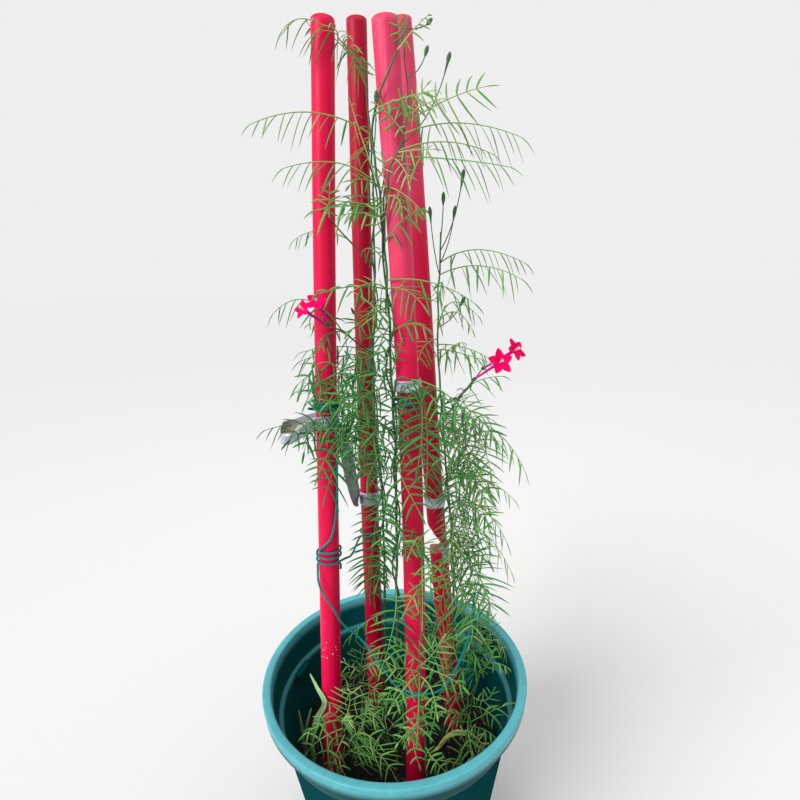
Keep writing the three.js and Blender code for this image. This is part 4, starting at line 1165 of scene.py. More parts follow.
def loopMesh(name, grid, thickness, values):
    # a closed loop of tape, with its backing on the inside
    g = np.array(grid[:-1], dtype=float)
    rows, cols = g.shape[:2]
    run = np.roll(g, -1, axis=0) - np.roll(g, 1, axis=0)
    points = bothFaces(g, np.cross(run, np.gradient(g, axis=1)), thickness)
    back = rows * cols
    faces, looks = [], []
    for i in range(rows):
        n = (i + 1) % rows
        for k in range(cols - 1):
            quad = (i * cols + k, n * cols + k, n * cols + k + 1, i * cols + k + 1)
            faces += [quad, tuple(back + v for v in reversed(quad))]
            looks += [0, 1]
        for k, flipped in ((0, False), (cols - 1, True)):
            a, b = i * cols + k, n * cols + k
            edge = (a, back + a, back + b, b)
            faces.append(tuple(reversed(edge)) if flipped else edge)
            looks.append(0)
    piece = newPiece(name, points, faces, [greyTape, tapeBacking], values=values)
    piece.data.polygons.foreach_set("material_index", looks)
    return piece


finishPiece(makeLoop(loopSizes), "tape", "tape_loop")

stripSizes = {
    "route": [
        (-44.3, -13, 549), (-43, -1, 531), (-42, 13, 505), (-39.5, 30, 470), (-37.7, 44, 447),
        (-37.4, 56, 441),
    ],
    "half": 7.0, "thickness": 1.0, "fold": 62, "rows": 60, "cols": 9,
}


def makeStrip(s):
    path = smoothPath(s["route"], s["rows"])
    sideways = np.array((1.0, 0, 0))
    grid = []
    for i, (centre, ahead) in enumerate(zip(path, np.gradient(path, axis=0))):
        across = unit(np.cross(sideways, unit(ahead)))
        # it turns to the front between its ends
        fold = math.radians(s["fold"] * math.sin(math.pi * i / (len(path) - 1)) ** 0.7)
        across = unit(across * math.cos(fold) + sideways * math.sin(fold))
        grid.append([centre + across * s["half"] * t for t in np.linspace(-1, 1, s["cols"])])
    return sheetPiece("tapeStrip", grid, s["thickness"])


finishPiece(makeStrip(stripSizes), "tape", "tape_strip")
print("tape wound")


# The tie wires, along the same routes as their solids.
wireSizes = {"orbit": 12.8, "pastLoop": 14.4, "pointsPerTurn": 10, "radius": 1.1, "heavy": 1.4}


def beside(stake, *places):
    # points next to a stake, each from its height, its heading and, where it's given, its distance
    out = []
    for height, heading, *distance in places:
        seat, a = axisAt(stakePaths[stake], height), math.radians(heading)
        orbit = distance[0] if distance else wireSizes["orbit"] - 0.5
        out.append((seat[0] + orbit * math.cos(a), seat[1] + orbit * math.sin(a), height))
    return out


def turnsRound(stake, low, high, turns, start):
    count = round(turns * wireSizes["pointsPerTurn"])
    return beside(stake, *[(low + (high - low) * i / count, start + 36 * i) for i in range(count + 1)])


past = wireSizes["pastLoop"]
wireRoutes = {
    "wire_left": [
        (-71, -34, 577), *turnsRound("stake_left", 574, 581, 2.2, 220),
        *beside(
            "stake_left", (572, 300, past), (556, 325, past), (541, 330, past), (520, 330), (490, 325),
            (460, 310), (442, 285), (435, 255),
        ),
        *turnsRound("stake_left", 428, 415, 2.2, 230), (-47, -28, 414), (-42, -14, 409), (-40, 4, 405),
        (-39, 22, 402), (-38, 38, 399), *turnsRound("stake_back", 397, 402, 1.3, 215), (-8, 62, 404),
    ],
    "wire_low": [
        *turnsRound("stake_left", 405, 409, 0.6, -10), (-72, -45, 398), (-66, -50, 386), (-58, -51, 372),
        (-50, -48, 352), (-36, -46, 336), (-22, -50, 320), (-10, -58, 306), (2, -68, 294),
        *turnsRound("stake_front", 286, 291, 1.2, 200)[1:], (44, -76, 292), (60, -68, 304), (74, -56, 324),
        (84, -44, 350), (87, -34, 374),
    ],
    "wire_front": turnsRound("stake_front", 582, 587, 1.2, 190),
}


def makeWire(name, route):
    path = smoothPath(route, 12 * len(route))
    along = np.linspace(0, 1, len(path))
    radii = np.full(len(path), wireSizes["radius"])
    thicker = wireSizes["heavy"] - wireSizes["radius"]
    if name == "wire_low":
        radii += thicker * np.clip((along - 0.72) / 0.1, 0, 1)
    if name == "wire_left":
        radii += thicker * np.clip((0.26 - along) / 0.03, 0, 1)
    return threadPiece(name.replace("wire_", "") + "TieWire", [(path, radii, 0.5)], tealTieWire, sides=10)


for node, route in wireRoutes.items():
    finishPiece(makeWire(node, route), "wire", node)
print("wires tied")


# How leaves grow. Ribs and lobes keep clear of the stakes' axes, passing in front of them or round them.
leafSizes = {
    "clear": 13.4, "lobeClear": 12.2, "petiole": 0.14, "lobed": 0.97, "fewest": 4, "most": 14,
    "ribArch": 0.3, "ribOut": 4, "ribRadius": 0.6, "lobeWidth": 0.9, "potLobeWidth": 0.85,
    "lobeThickness": 0.4, "finer": (600, 800, 0.84), "tintSpread": 0.2, "twist": 0.12,
    "reachAlong": (0.7, 0.9, -1.15), "reachSpread": (0.86, 1.12), "leanLoss": 30, "leanSpread": 8,
    "lowestLean": (85, 118), "lowestReach": 0.8, "wideSpread": (0.85, 1.15),
}
# A leaf that hangs has wide-set lobes that droop, and one that faces somewhere has close, spread ones. Under
# longest stand the greatest length of a lobe, its length on the smallest leaf, and its growth with the leaf.
lobeKinds = {
    "hanging": {
        "spacing": 13.5, "stagger": 0.45, "lean": 66, "sag": (0.35, 0.75), "wide": 1.15, "curl": (-0.02, 0.1),
        "longest": (30.0, 8, 0.22), "longestSpread": (0.68, 1.12), "drop": (0.45, 0.95),
    },
    "facing": {
        "spacing": 8.3, "stagger": 0.0, "lean": 88, "sag": (0.08, 0.26), "wide": 1.06, "curl": (0.1, 0.34),
        "longest": (33.0, 4, 0.38), "longestSpread": (0.9, 1.1), "drop": (0.6, 1.05),
    },
}


def shortOfClear(point, path, clear):
    # how much nearer than this a point stands to a stake, and the way out from it
    seat = axisAt(path, point[2])
    away = np.array((point[0] - seat[0], point[1] - seat[1], 0.0))
    return clear - float(np.linalg.norm(away)), unit(away)


def bendClear(point):
    for path in stakePaths.values():
        short, away = shortOfClear(point, path, leafSizes["clear"])
        if short > 0:
            point = point + away * short
    return point


def bendLobe(root, tip):
    # moves a lobe's tip until its middle and its tip are clear of the stakes
    for path in stakePaths.values():
        for share in (0.5, 1.0) * 4:
            short, away = shortOfClear(root + (tip - root) * share, path, leafSizes["lobeClear"])
            if short > 0:
                tip = tip + away * short / share
    return tip


def turned(side, over, spin):
    return side * math.cos(spin) + over * math.sin(spin), over * math.cos(spin) - side * math.sin(spin)


def growRib(base, tip, length, facing, crown):
    # the rib's path, and the way that the leaf faces
    s, middle = leafSizes, (base + tip) / 2
    outward = unit(np.array((middle[0] - plantAxis[0], middle[1] - plantAxis[1], 0.0)))
    if facing is not None:
        outward = np.array((math.cos(math.radians(facing)), math.sin(math.radians(facing)), 0.0))
    level = 1 - abs(tip[2] - base[2]) / length
    bow = middle + up * length * s["ribArch"] * level + outward * s["ribOut"]
    if crown is not None:
        bow = 2 * np.array(crown, dtype=float) - middle  # the rib passes through its crown
    rib = evenly(arc(base, bow, tip, np.linspace(0, 1, 60)[:, None]), 26)
    return np.array([rib[0]] + [bendClear(p) for p in rib[1:]]), outward


def longestLobe(kind, length, rng):
    most, least, growth = kind["longest"]
    return min(most, least + growth * length) * rng.uniform(*kind["longestSpread"])


def growLeaf(store, rng, base, tip, fold, facing, crown, shade):
    # the rib is a thread and each lobe a point that carries its turn, reach, sag and tint
    s, hangs = leafSizes, facing is None
    kind = lobeKinds["hanging" if hangs else "facing"]
    length = float(np.linalg.norm(tip - base))
    rib, outward = growRib(base, tip, length, facing, crown)
    foldAngle = math.radians(fold)
    face = unit(up * (math.sin(foldAngle) + 0.1) + outward * math.cos(foldAngle))
    along = np.linspace(0, 1, len(rib))
    store["strands"].append((rib, s["ribRadius"] * (1.2 - 0.7 * along), min(1.0, shade + 0.15)))
    pairs = round(length * (s["lobed"] - s["petiole"]) / kind["spacing"])
    pairs = int(np.clip(pairs, s["fewest"], s["most"]))
    longest = longestLobe(lobeKinds["hanging"], length, rng)
    if not hangs:
        longest = longestLobe(kind, length, rng)
    twist = rng.uniform(-s["twist"], s["twist"])
    first, rise, fall = s["reachAlong"]
    low, high, finest = s["finer"]  # higher up the lobes are finer
    fine = float(np.interp(base[2], (low, high), (1.0, finest)))
    for i in range(pairs + 1):
        for hand in [-1, 1] if i < pairs else [0]:
            stagger = kind["stagger"] if hand > 0 else 0.0
            share = min(0.995, s["petiole"] + (s["lobed"] - s["petiole"]) * (i + 0.2 + stagger) / pairs)
            centre = pointAt(rib, share)
            ahead = unit(pointAt(rib, min(1, share + 0.02)) - pointAt(rib, max(0, share - 0.02)))
            side = unit(np.cross(ahead, face))
            side, over = turned(side, unit(np.cross(side, ahead)), twist * (share - 0.3) * 4)
            a = (share - s["petiole"]) / (1 - s["petiole"])
            reach = longest * (first + rise * a + fall * a * a) * rng.uniform(*s["reachSpread"])
            lean = 0.0
            if hand:
                lean = kind["lean"] - s["leanLoss"] * a + rng.uniform(-s["leanSpread"], s["leanSpread"])
            drop = foldAngle * rng.uniform(*lobeKinds["facing"]["drop"])
            if hangs:
                drop = min(foldAngle + 0.3, 1.5) * rng.uniform(*kind["drop"])
            if hand and i == 0:
                lean = rng.uniform(*s["lowestLean"])  # the lowest pair turns back
                reach *= s["lowestReach"]
            lean = math.radians(lean)
            sideways = side * hand * math.sin(lean) * math.cos(drop) - over * math.sin(lean) * math.sin(drop)
            end = bendLobe(centre, centre + reach * (ahead * math.cos(lean) + sideways))
            sag = rng.uniform(*kind["sag"])
            wide = kind["wide"] * rng.uniform(*s["wideSpread"]) * fine
            curl = rng.uniform(*kind["curl"]) * (1 if hangs else 0.4 + 0.6 * a)
            addLobe(store, rng, centre, end, over, ahead * curl * bool(hand) - up * sag, shade, wide)


def addLobe(store, rng, root, end, over, sag, shade, wide):
    direction = unit(end - root)
    flat = unit(over - direction * float(over @ direction))
    across = np.cross(flat, direction)
    turn = Matrix(np.column_stack((direction, across, flat)).tolist()).to_euler("XYZ")
    length = float(np.linalg.norm(end - root))
    store["roots"].append(root)
    store["turn"].append(tuple(turn))
    store["reach"].append(length * mm)
    store["sag"].append(tuple(sag * length * mm))
    spread = leafSizes["tintSpread"]
    store["tint"].append(clamp(shade + rng.uniform(-spread, spread)))
    store["wide"].append(wide)


def lobeShape():
    # a slender blade, one unit long and two wide at its middle, tapering to both ends
    stations = ((0.0, 0.45), (0.1, 0.75), (0.28, 1.0), (0.48, 1.0), (0.68, 0.86), (0.85, 0.56))
    points, along = [], []
    thin = leafSizes["lobeThickness"] / leafSizes["lobeWidth"]
    for x, half in stations:
        points += [(x, half, 0), (x, 0, half * thin), (x, -half, 0), (x, 0, -half * thin)]
        along += [x] * 4
    points.append((1, 0, 0))
    along.append(1.0)
    faces = [(3, 2, 1, 0)]
    for i in range(len(stations) - 1):
        for k in range(4):
            a, b = 4 * i + k, 4 * i + (k + 1) % 4
            faces.append((a, a + 4, b + 4, b)[::-1])
    last = 4 * (len(stations) - 1)
    faces += [(last + (k + 1) % 4, last + k, len(points) - 1)[::-1] for k in range(4)]
    mesh = bpy.data.meshes.new("lobe")
    mesh.from_pydata(points, [], faces)
    addLayers(mesh, {"along": along})
    return newObject("lobe", mesh)


lobe = lobeShape()


def newStore():
    return {key: [] for key in ("strands", "roots", "turn", "reach", "sag", "tint", "wide")}


def leafPieces(name, store, look, width):
    # the lobes and the ribs of all a vine's leaves, joined into one piece
    mesh = bpy.data.meshes.new(name)
    mesh.from_pydata([tuple(p * mm) for p in store["roots"]], [], [])
    addLayers(mesh, {key: store[key] for key in ("reach", "tint", "wide")})
    addLayers(mesh, {key: store[key] for key in ("turn", "sag")}, "FLOAT_VECTOR", "vector")
    values = {"Lobe": lobe, "Width": width * mm, "Seed": len(name), "Material": look}
    piece = grown(newObject(name, mesh), lobes, values)
    ribs = threadPiece(name + "Ribs", store["strands"], look, sides=5)
    return joined(piece, ribs)


def joined(piece, other):
    both = [piece, other]
    with bpy.context.temp_override(
        active_object=piece, object=piece, selected_objects=both, selected_editable_objects=both
    ):
        bpy.ops.object.join()
    return piece


# The vines. Stems run from the soil up. A leaf is (stem, share, tip x, y, z, fold, facing) and a bud
# (stem, share, x, y, z), with the main stem as 0 and the shoots from 1. A leaf may end in the crown its rib
# passes through, in mm or as a pixel of the photograph. Those under more are too fine for the solids, and
# most are given as they are seen. The shades are the leaves' tints from low to high.
viewer = -90
crownAhead = 3  # how far a crown stands nearer than the middle of its leaf


def seen(baseX, baseY, crownX, crownY, tipX, tipY, depth, fold, facing=viewer):
    # a leaf as read off the photograph, in its pixels, with the depth of its tip in mm
    base, crown, tip = (baseX, baseY), (crownX, crownY), (tipX, tipY)
    return {"base": base, "crown": crown, "tip": tip, "depth": depth, "fold": fold, "facing": facing}


def crownSeen(pixel, root, tip):
    return np.round(atPixel(*pixel, (root[1] + tip[1]) / 2 - crownAhead))


def rooted(leaf, paths):
    # the stem, and the share of it, that the camera sees nearest to the leaf's base
    nearest, place, share = 1e9, 0, 0.0
    for index, path in enumerate(paths):
        shares = np.linspace(0.0 if index else 0.1, 1, 181)  # the main stem starts in the soil
        spots = pixelsOf([pointAt(path, s) for s in shares])
        for s, gap in zip(shares, np.hypot(*(spots - leaf["base"]).T)):
            if gap < nearest - 0.3:
                nearest, place, share = gap, index, s
    return place, share


def placeSeen(leaf, paths):
    place, share = rooted(leaf, paths)
    tip = np.round(atPixel(*leaf["tip"], leaf["depth"]))
    crown = crownSeen(leaf["crown"], pointAt(paths[place], share), (tip[0], leaf["depth"]))
    return place, round(float(share), 2), *tip, leaf["fold"], leaf["facing"], crown


vineTables = {
    "vine_front": {
        "stem": [
            (2, -42, 146), (4, -50, 240), (6, -62, 340), (8, -58, 430), (10, -52, 520), (9, -48, 610),
            (8, -45, 690), (5, -41, 760), (1, -39, 820), (8, -50, 840), (20, -52, 862), (30, -42, 885),
            (33, -30, 901),
        ],
        "shoots": [
            (0.745, [(14, -54, 780), (24, -53, 800), (30, -46, 822), (31, -36, 850), (29, -37, 880)]),
            (0.56, [(16, -66, 610), (30, -66, 606), (36, -66, 598)]),
            (0.53, [(-8, -50, 567), (-23, -42, 554)]),
        ],
        "leaves": [
            (0, 0.865, -93, -70, 814, 60, None, (314, 113)), (0, 0.81, -70, -65, 783, 55, None, (340, 164)),
            (0, 0.75, 37, -75, 747, 30), (0, 0.81, -20, 0, 852, 40), (0, 0.73, -16, 10, 721, 20),
            (0, 0.65, 41, -80, 653, 20), (0, 0.66, -26, -10, 684, 40), (0, 0.6, -3, -25, 622, 30),
            (0, 0.6, 20, -70, 643, 30), (0, 0.57, 31, -78, 606, 20), (0, 0.56, -57, -45, 592, 45),
            (0, 0.54, -31, -20, 566, 30), (0, 0.545, 16, -75, 590, 30), (0, 0.5, 17, -85, 561, 30),
            (1, 0.62, 94, -50, 842, 10, viewer, (448, 99)), (1, 0.56, 6, -60, 828, 10, viewer),
            (1, 0.56, 122, -50, 804, 55, None, (460, 123)), (1, 0.47, 103, -40, 793, 45, None, (447, 142)),
            (1, 0.44, 108, -72, 777, 55, None, (455, 160)), (0, 0.95, 48, -50, 893, 40),
            (2, 0.98, 37, -85, 518, 10, viewer, (427, 435)), (3, 0.5, -49, -55, 540, 35),
            (3, 0.95, -58, -50, 495, 10, viewer, (341, 455)), (3, 0.9, -108, -55, 563, 60, None, (312, 423)),
            (0, 0.33, -10, -80, 325, 10, viewer, (394, 625)),
        ],
        "more": [
            (3, 0.7, -73, -50, 600, 20, viewer, (-44, -46, 621)),
            (3, 0.95, -86, -58, 554, 20, viewer, (-53, -50, 571)),
            (3, 0.8, -70, -50, 587, 25, viewer, (-47, -46, 602)),
            (3, 0.98, -74, -56, 541, 20, viewer, (-57, -50, 562)),
            (3, 1, -62, -60, 519, 15, viewer, (-43, -52, 550)),
            (0, 0.71, 80, -82, 672, 60, None, (46, -72, 690)), seen(392, 425, 408, 436, 402, 462, -84, 15),
            seen(366, 432, 356, 410, 356, 379, -52, 20), seen(372, 428, 381, 424, 394, 435, -62, 20),
            seen(366, 436, 374, 448, 381, 463, -60, 20), seen(362, 438, 362, 455, 368, 478, -58, 20),
            seen(366, 430, 350, 419, 330, 414, -62, 30), seen(362, 437, 348, 442, 331, 433, -64, 25),
            seen(368, 428, 372, 410, 384, 398, -60, 20), seen(366, 431, 347, 407, 335, 386, -56, 25),
            seen(396, 524, 386, 510, 374, 497, -72, 25), seen(396, 522, 402, 534, 412, 550, -88, 25),
            seen(405, 44, 401, 33, 398, 21, -50, 20), seen(380, 112, 402, 99, 434, 90, -78, 55, None),
            seen(408, 114, 416, 100, 426, 86, -62, 15), seen(407, 118, 420, 106, 442, 99, -66, 60, None),
            seen(405, 120, 402, 106, 400, 94, -62, 20), seen(395, 152, 415, 150, 434, 149, -62, 30),
            seen(394, 158, 403, 168, 409, 181, -64, 20), seen(377, 176, 384, 168, 383, 158, -58, 20),
            seen(377, 184, 398, 191, 420, 210, -66, 60, None), seen(377, 186, 362, 179, 350, 186, -62, 20),
            seen(379, 197, 366, 204, 350, 199, -54, 40), seen(379, 206, 352, 202, 320, 199, -62, 25, None),
            seen(380, 212, 346, 206, 315, 210, -66, 15, None),
            seen(381, 222, 364, 213, 342, 215, -58, 50, None), seen(383, 236, 377, 220, 375, 203, -58, 20),
            seen(388, 196, 398, 198, 402, 213, -66, 30), seen(386, 283, 355, 286, 319, 294, -72, 12, None),
            seen(387, 283, 371, 283, 352, 291, -74, 20), seen(387, 288, 405, 290, 422, 304, -88, 35),
            seen(388, 298, 378, 308, 373, 324, -70, 25), seen(388, 312, 370, 316, 352, 330, -66, 25),
            seen(389, 330, 381, 343, 379, 362, -70, 15), seen(390, 350, 372, 355, 354, 362, -64, 25),
            seen(391, 372, 368, 373, 350, 358, -70, 20), seen(392, 384, 364, 372, 344, 396, -78, 20),
            seen(393, 396, 372, 391, 348, 414, -78, 25), seen(394, 404, 384, 384, 371, 366, -80, 15),
            seen(378, 424, 347, 406, 316, 399, -70, 40, None),
            seen(368, 425, 338, 428, 300, 424, -74, 60, None), seen(364, 430, 356, 455, 376, 486, -70, 20),
            seen(394, 430, 372, 437, 350, 450, -76, 20), seen(394, 426, 383, 432, 360, 420, -78, 15),
            seen(395, 440, 382, 450, 371, 472, -78, 20), seen(395, 456, 402, 478, 419, 512, -90, 12),
            seen(395, 468, 384, 474, 370, 474, -74, 20), seen(395, 480, 388, 498, 386, 522, -74, 15),
            seen(397, 545, 386, 560, 377, 584, -78, 20), seen(397, 556, 408, 546, 426, 548, -92, 20),
            seen(396, 510, 388, 526, 382, 548, -78, 20), seen(420, 390, 406, 402, 398, 428, -88, 20),
            (2, 0.92, 30, -90, 536, 15, viewer, (35, -79, 572)),
            seen(412, 383, 442, 391, 471, 421, -88, 45, None),
            seen(420, 389, 452, 398, 480, 432, -76, 60, None), seen(421, 390, 436, 402, 446, 425, -84, 25),
            seen(398, 700, 388, 704, 379, 713, -72, 20), seen(398, 702, 404, 714, 401, 730, -74, 20),
            seen(398, 672, 404, 690, 396, 712, -74, 20),
        ],
        "buds": [
            (1, 0.85, 49, -10, 885), (1, 0.5, 67, -20, 875), (0, 0.8, 15, -46, 825), (0, 0.98, 51, -20, 902),
            (0, 0.85, 5, -46, 838),
        ],
        "twiner": (0.3, 0.8, 3.2, 95.0),
        "shade": (0.45, 0.3, 0.34, 0.56, 0.72),
    },
    "vine_right": {
        "stem": [
            (50, -22, 146), (62, -6, 230), (70, 6, 320), (70, 16, 400), (66, 24, 470), (61, 30, 560),
            (58, 32, 640), (60, 24, 700), (62, 14, 738),
        ],
        "shoots": [
            (0.68, [(70, -4, 566), (80, -34, 592), (84, -41, 600)]),
            (0.7, [(78, -10, 580), (96, -20, 606)]),
        ],
        "leaves": [
            (0, 0.95, 134, -30, 704, 55, None, (478, 250)), (0, 0.93, 125, -55, 690, 60, None, (478, 266)),
            (0, 0.81, 102, -30, 619, 50, None, (462, 347)), (1, 0.35, 110, -50, 605, 45, None, (470, 385)),
            (1, 0.15, 133, -50, 512, 45, None, (492, 428)), (0, 0.7, 79, -30, 521, 30),
            (0, 0.57, 130, -20, 470, 50), (0, 0.53, 121, -30, 428, 45, None, (482, 508)),
            (0, 0.49, 124, -40, 400, 40, None, (484, 533)), (0, 0.44, 104, -40, 354, 35, None, (476, 570)),
            (0, 0.42, 73, -50, 363, 20), (0, 0.66, 112, 10, 548, 45), (0, 0.62, 64, 104, 520, 40),
            (0, 0.78, 92, 74, 622, 45), (0, 0.5, 104, 66, 452, 45), (0, 0.3, 34, -40, 317, 20, viewer),
            (0, 0.34, 110, 24, 340, 45), (0, 0.25, 92, -28, 284, 35), (0, 0.88, 70, 100, 690, 45),
        ],
        "more": [
            seen(455, 410, 450, 424, 433, 438, -52, 20), seen(452, 416, 460, 434, 441, 458, -44, 20),
            (1, 0.44, 104, -46, 545, 20, viewer, (86, -29, 567)),
            (0, 0.66, 102, -38, 509, 20, viewer, (92, -9, 533)), seen(450, 440, 468, 453, 462, 482, -36, 25),
            seen(450, 402, 462, 402, 472, 418, -48, 20), seen(448, 470, 462, 462, 477, 471, -34, 25),
            seen(448, 480, 452, 500, 463, 521, -30, 25), (0, 0.58, 101, -36, 483, 20, viewer, (84, -9, 495)),
            seen(449, 510, 466, 505, 486, 521, -30, 25), seen(449, 530, 464, 535, 483, 528, -30, 25),
            seen(449, 545, 463, 548, 481, 557, -30, 25), seen(449, 520, 456, 535, 469, 551, -32, 25),
            (0, 0.8, 101, -36, 616, 60, None, (71, -12, 624)),
            seen(437, 334, 450, 303, 478, 316, -18, 60, None), seen(438, 340, 424, 346, 417, 364, 0, 25),
            seen(438, 320, 455, 312, 472, 330, -14, 50, None),
            seen(443, 420, 472, 424, 501, 446, -32, 65, None), seen(444, 434, 462, 438, 470, 470, -30, 30),
            seen(445, 448, 470, 449, 485, 500, -36, 40), seen(446, 462, 456, 464, 457, 492, -22, 20),
            (0, 0.58, 66, -40, 468, 20, viewer, (70, -22, 496)), seen(447, 482, 470, 480, 487, 506, -30, 40),
            seen(446, 458, 430, 472, 421, 500, -20, 20), seen(449, 500, 468, 506, 492, 518, -42, 40),
            (0, 0.49, 62, -42, 428, 20, viewer, (68, -22, 452)), seen(450, 522, 468, 528, 489, 533, -46, 15),
            seen(451, 530, 462, 545, 470, 562, -36, 20), (0, 0.47, 52, -42, 398, 20, viewer, (62, -26, 424)),
            seen(452, 546, 474, 548, 488, 560, -30, 20), seen(452, 556, 470, 568, 478, 602, -30, 25),
            (0, 0.42, 86, -64, 356, 25, viewer, (82, -52, 388)), seen(453, 568, 446, 582, 440, 604, -14, 20),
            seen(453, 574, 463, 586, 466, 612, -16, 20), seen(451, 524, 458, 536, 456, 560, -30, 20),
            (0, 0.44, 98, -62, 372, 25, viewer, (92, -50, 396)),
            (0, 0.38, 78, -66, 338, 25, viewer, (80, -54, 362)),
            seen(454, 610, 476, 618, 502, 642, -6, 60, None), seen(454, 620, 462, 640, 471, 657, -24, 20),
            seen(453, 630, 442, 642, 433, 668, -60, 15), seen(453, 615, 440, 618, 424, 633, -60, 15),
            seen(453, 642, 456, 656, 463, 678, -40, 20), seen(451, 664, 446, 676, 448, 696, -34, 20),
            seen(453, 628, 470, 630, 487, 646, -30, 40), seen(453, 646, 470, 650, 482, 670, -30, 35),
        ],
        "buds": [
            (0, 0.97, 80, -10, 784), (0, 0.99, 63, 0, 767), (0, 0.93, 51, 10, 756), (0, 0.95, 72, -12, 753),
            (0, 0.84, 81, 0, 672),
        ],
        "twiner": (0.2, 0.72, 3.0, 80.0),
        "stemTints": (0.55, 0.85),
        "shade": (0.56, 0.6, 0.64, 0.68, 0.76),
    },
    "vine_back": {
        "stem": [
            (-14, 32, 146), (-12, 38, 240), (-10, 44, 330), (-8, 50, 420), (-10, 50, 500), (-14, 44, 560),
            (-10, 46, 640), (-6, 52, 713), (-4, 58, 790), (-6, 60, 860), (-8, 58, 905),
        ],
        "shoots": [
            (0.74, [(-22, 36, 726), (-34, 6, 740), (-41, -26, 750)]),
            (0.62, [(-28, 28, 632), (-36, 0, 645), (-40, -30, 651), (-47.5, -34, 654)]),
        ],
        "leaves": [
            (0, 0.98, -51, 0, 914, 35, None, (341, 45)), (0, 0.94, 30, 96, 880, 45),
            (1, 0.98, -38, -37, 773, 15, viewer), (1, 0.5, -88, 40, 736, 45),
            (2, 0.8, -96, -34, 668, 50, None, (308, 300)), (2, 0.6, -58, -46, 636, 40),
            (2, 0.25, -80, 62, 650, 45), (0, 0.6, -86, 16, 615, 45), (0, 0.575, -94, 22, 582, 45),
            (0, 0.38, -25, 15, 346, 10, viewer, (374, 545)), (0, 0.385, 18, -8, 417, 20),
            (0, 0.52, -4, 0, 500, 25), (0, 0.69, 12, 116, 660, 45), (0, 0.82, 24, 114, 776, 45),
            (0, 0.48, 16, 116, 462, 45), (0, 0.3, 20, 96, 352, 45), (0, 0.2, -60, 40, 262, 40),
        ],
        "more": [
            (0, 0.99, -72, -20, 899, 35, None, (-42, -17, 905)), seen(372, 200, 356, 196, 345, 208, 26, 30),
            seen(366, 70, 356, 53, 346, 45, 30, 40, None), (0, 0.97, -50, -19, 893, 35, None, (-28, 0, 901)),
            seen(371, 140, 362, 150, 352, 160, 30, 30), seen(373, 350, 345, 346, 301, 352, -20, 60, None),
            seen(373, 362, 340, 356, 298, 384, -35, 70, None), seen(372, 374, 342, 372, 318, 396, -40, 30),
            seen(373, 340, 362, 330, 354, 314, 10, 30), seen(373, 330, 385, 338, 392, 352, 20, 30),
            seen(374, 410, 352, 398, 330, 402, -30, 40), seen(378, 450, 364, 455, 352, 470, 10, 40),
            seen(382, 487, 374, 532, 367, 588, 8, 12), seen(384, 560, 376, 575, 374, 600, 15, 30),
            seen(386, 650, 378, 668, 376, 690, 10, 30),
        ],
        "twiner": (0.25, 0.9, 3.0, 110.0),
        "tendrils": [[(-48, -35, 654), (-54, -42, 662), (-59, -47, 665), (-61, -50, 661), (-61, -51, 653)]],
        "shade": (0.4, 0.3, 0.32, 0.48, 0.64),
    },
    "vine_low": {
        "stem": [
            (34, -102, 146), (30, -99, 240), (26, -95, 310), (27, -92, 345), (31, -82, 400), (32, -76, 442),
        ],
        "leaves": [
            (0, 0.62, 22, -122, 287, 10, viewer), (0, 0.6, -8, -112, 322, 20), (0, 0.64, 66, -108, 326, 20),
            (0, 0.66, 2, -96, 368, 30), (0, 0.68, 60, -96, 372, 30), (0, 0.97, 30, -100, 392, 10, viewer),
            (0, 0.9, 62, -66, 440, 40), (0, 0.3, 66, -92, 220, 40),
        ],
        "more": [
            seen(422, 572, 436, 566, 448, 592, -70, 30), (0, 0.99, 20, -106, 462, 15, viewer, (30, -98, 474)),
            (0, 0.99, 38, -108, 430, 15, viewer, (35, -100, 452)),
            (0, 0.9, 14, -106, 405, 15, viewer, (24, -98, 418)), seen(420, 671, 404, 668, 388, 671, -112, 15),
            seen(420, 673, 406, 686, 391, 708, -114, 15), seen(420, 667, 432, 654, 442, 640, -108, 15),
            seen(420, 676, 431, 689, 437, 714, -112, 20), seen(421, 702, 434, 704, 431, 732, -114, 30),
            seen(424, 746, 432, 758, 444, 770, -112, 20), seen(422, 722, 410, 728, 398, 744, -116, 20),
            seen(424, 735, 414, 740, 419, 765, -116, 15), seen(424, 722, 416, 724, 406, 744, -114, 15),
            seen(423, 706, 424, 716, 430, 738, -112, 15),
        ],
        "shade": (0.6, 0.5, 0.5, 0.5, 0.5),
    },
    "vine_pot_right": {
        "stem": [
            (72, -40, 146), (80, -36, 200), (86, -30, 240), (95, -20, 262), (104, -8, 282),
        ],
        "leaves": [
            (0, 0.45, 124, -50, 250, 40), (0, 0.42, 103, -62, 222, 30), (0, 0.95, 132, 6, 272, 55),
            (0, 0.5, 50, -72, 262, 30), (0, 0.3, 78, -88, 206, 40), (0, 0.75, 88, 30, 288, 40),
            (0, 0.9, 122, -40, 286, 40),
        ],
        "more": [
            seen(471, 704, 460, 714, 450, 726, -72, 15), seen(471, 706, 484, 710, 499, 724, -58, 25),
            seen(470, 712, 468, 728, 472, 750, -74, 15), seen(473, 697, 485, 700, 494, 690, -44, 20),
            seen(473, 695, 462, 692, 452, 698, -60, 20), seen(478, 676, 468, 668, 458, 680, -46, 20),
            seen(479, 673, 488, 664, 494, 652, -20, 20), seen(485, 651, 496, 640, 506, 658, -14, 50, None),
            seen(484, 654, 477, 640, 470, 624, -20, 20), seen(485, 650, 490, 634, 488, 616, -10, 20),
            seen(467, 738, 462, 750, 453, 768, -84, 20), seen(467, 736, 476, 744, 487, 752, -70, 20),
        ],
        "shade": (0.6, 0.5, 0.5, 0.5, 0.5),
    },
    "vine_pot_left": {
        "stem": [
            (-42, -66, 146), (-46, -69, 200), (-52, -71, 240), (-57, -73, 262),
        ],
        "leaves": [
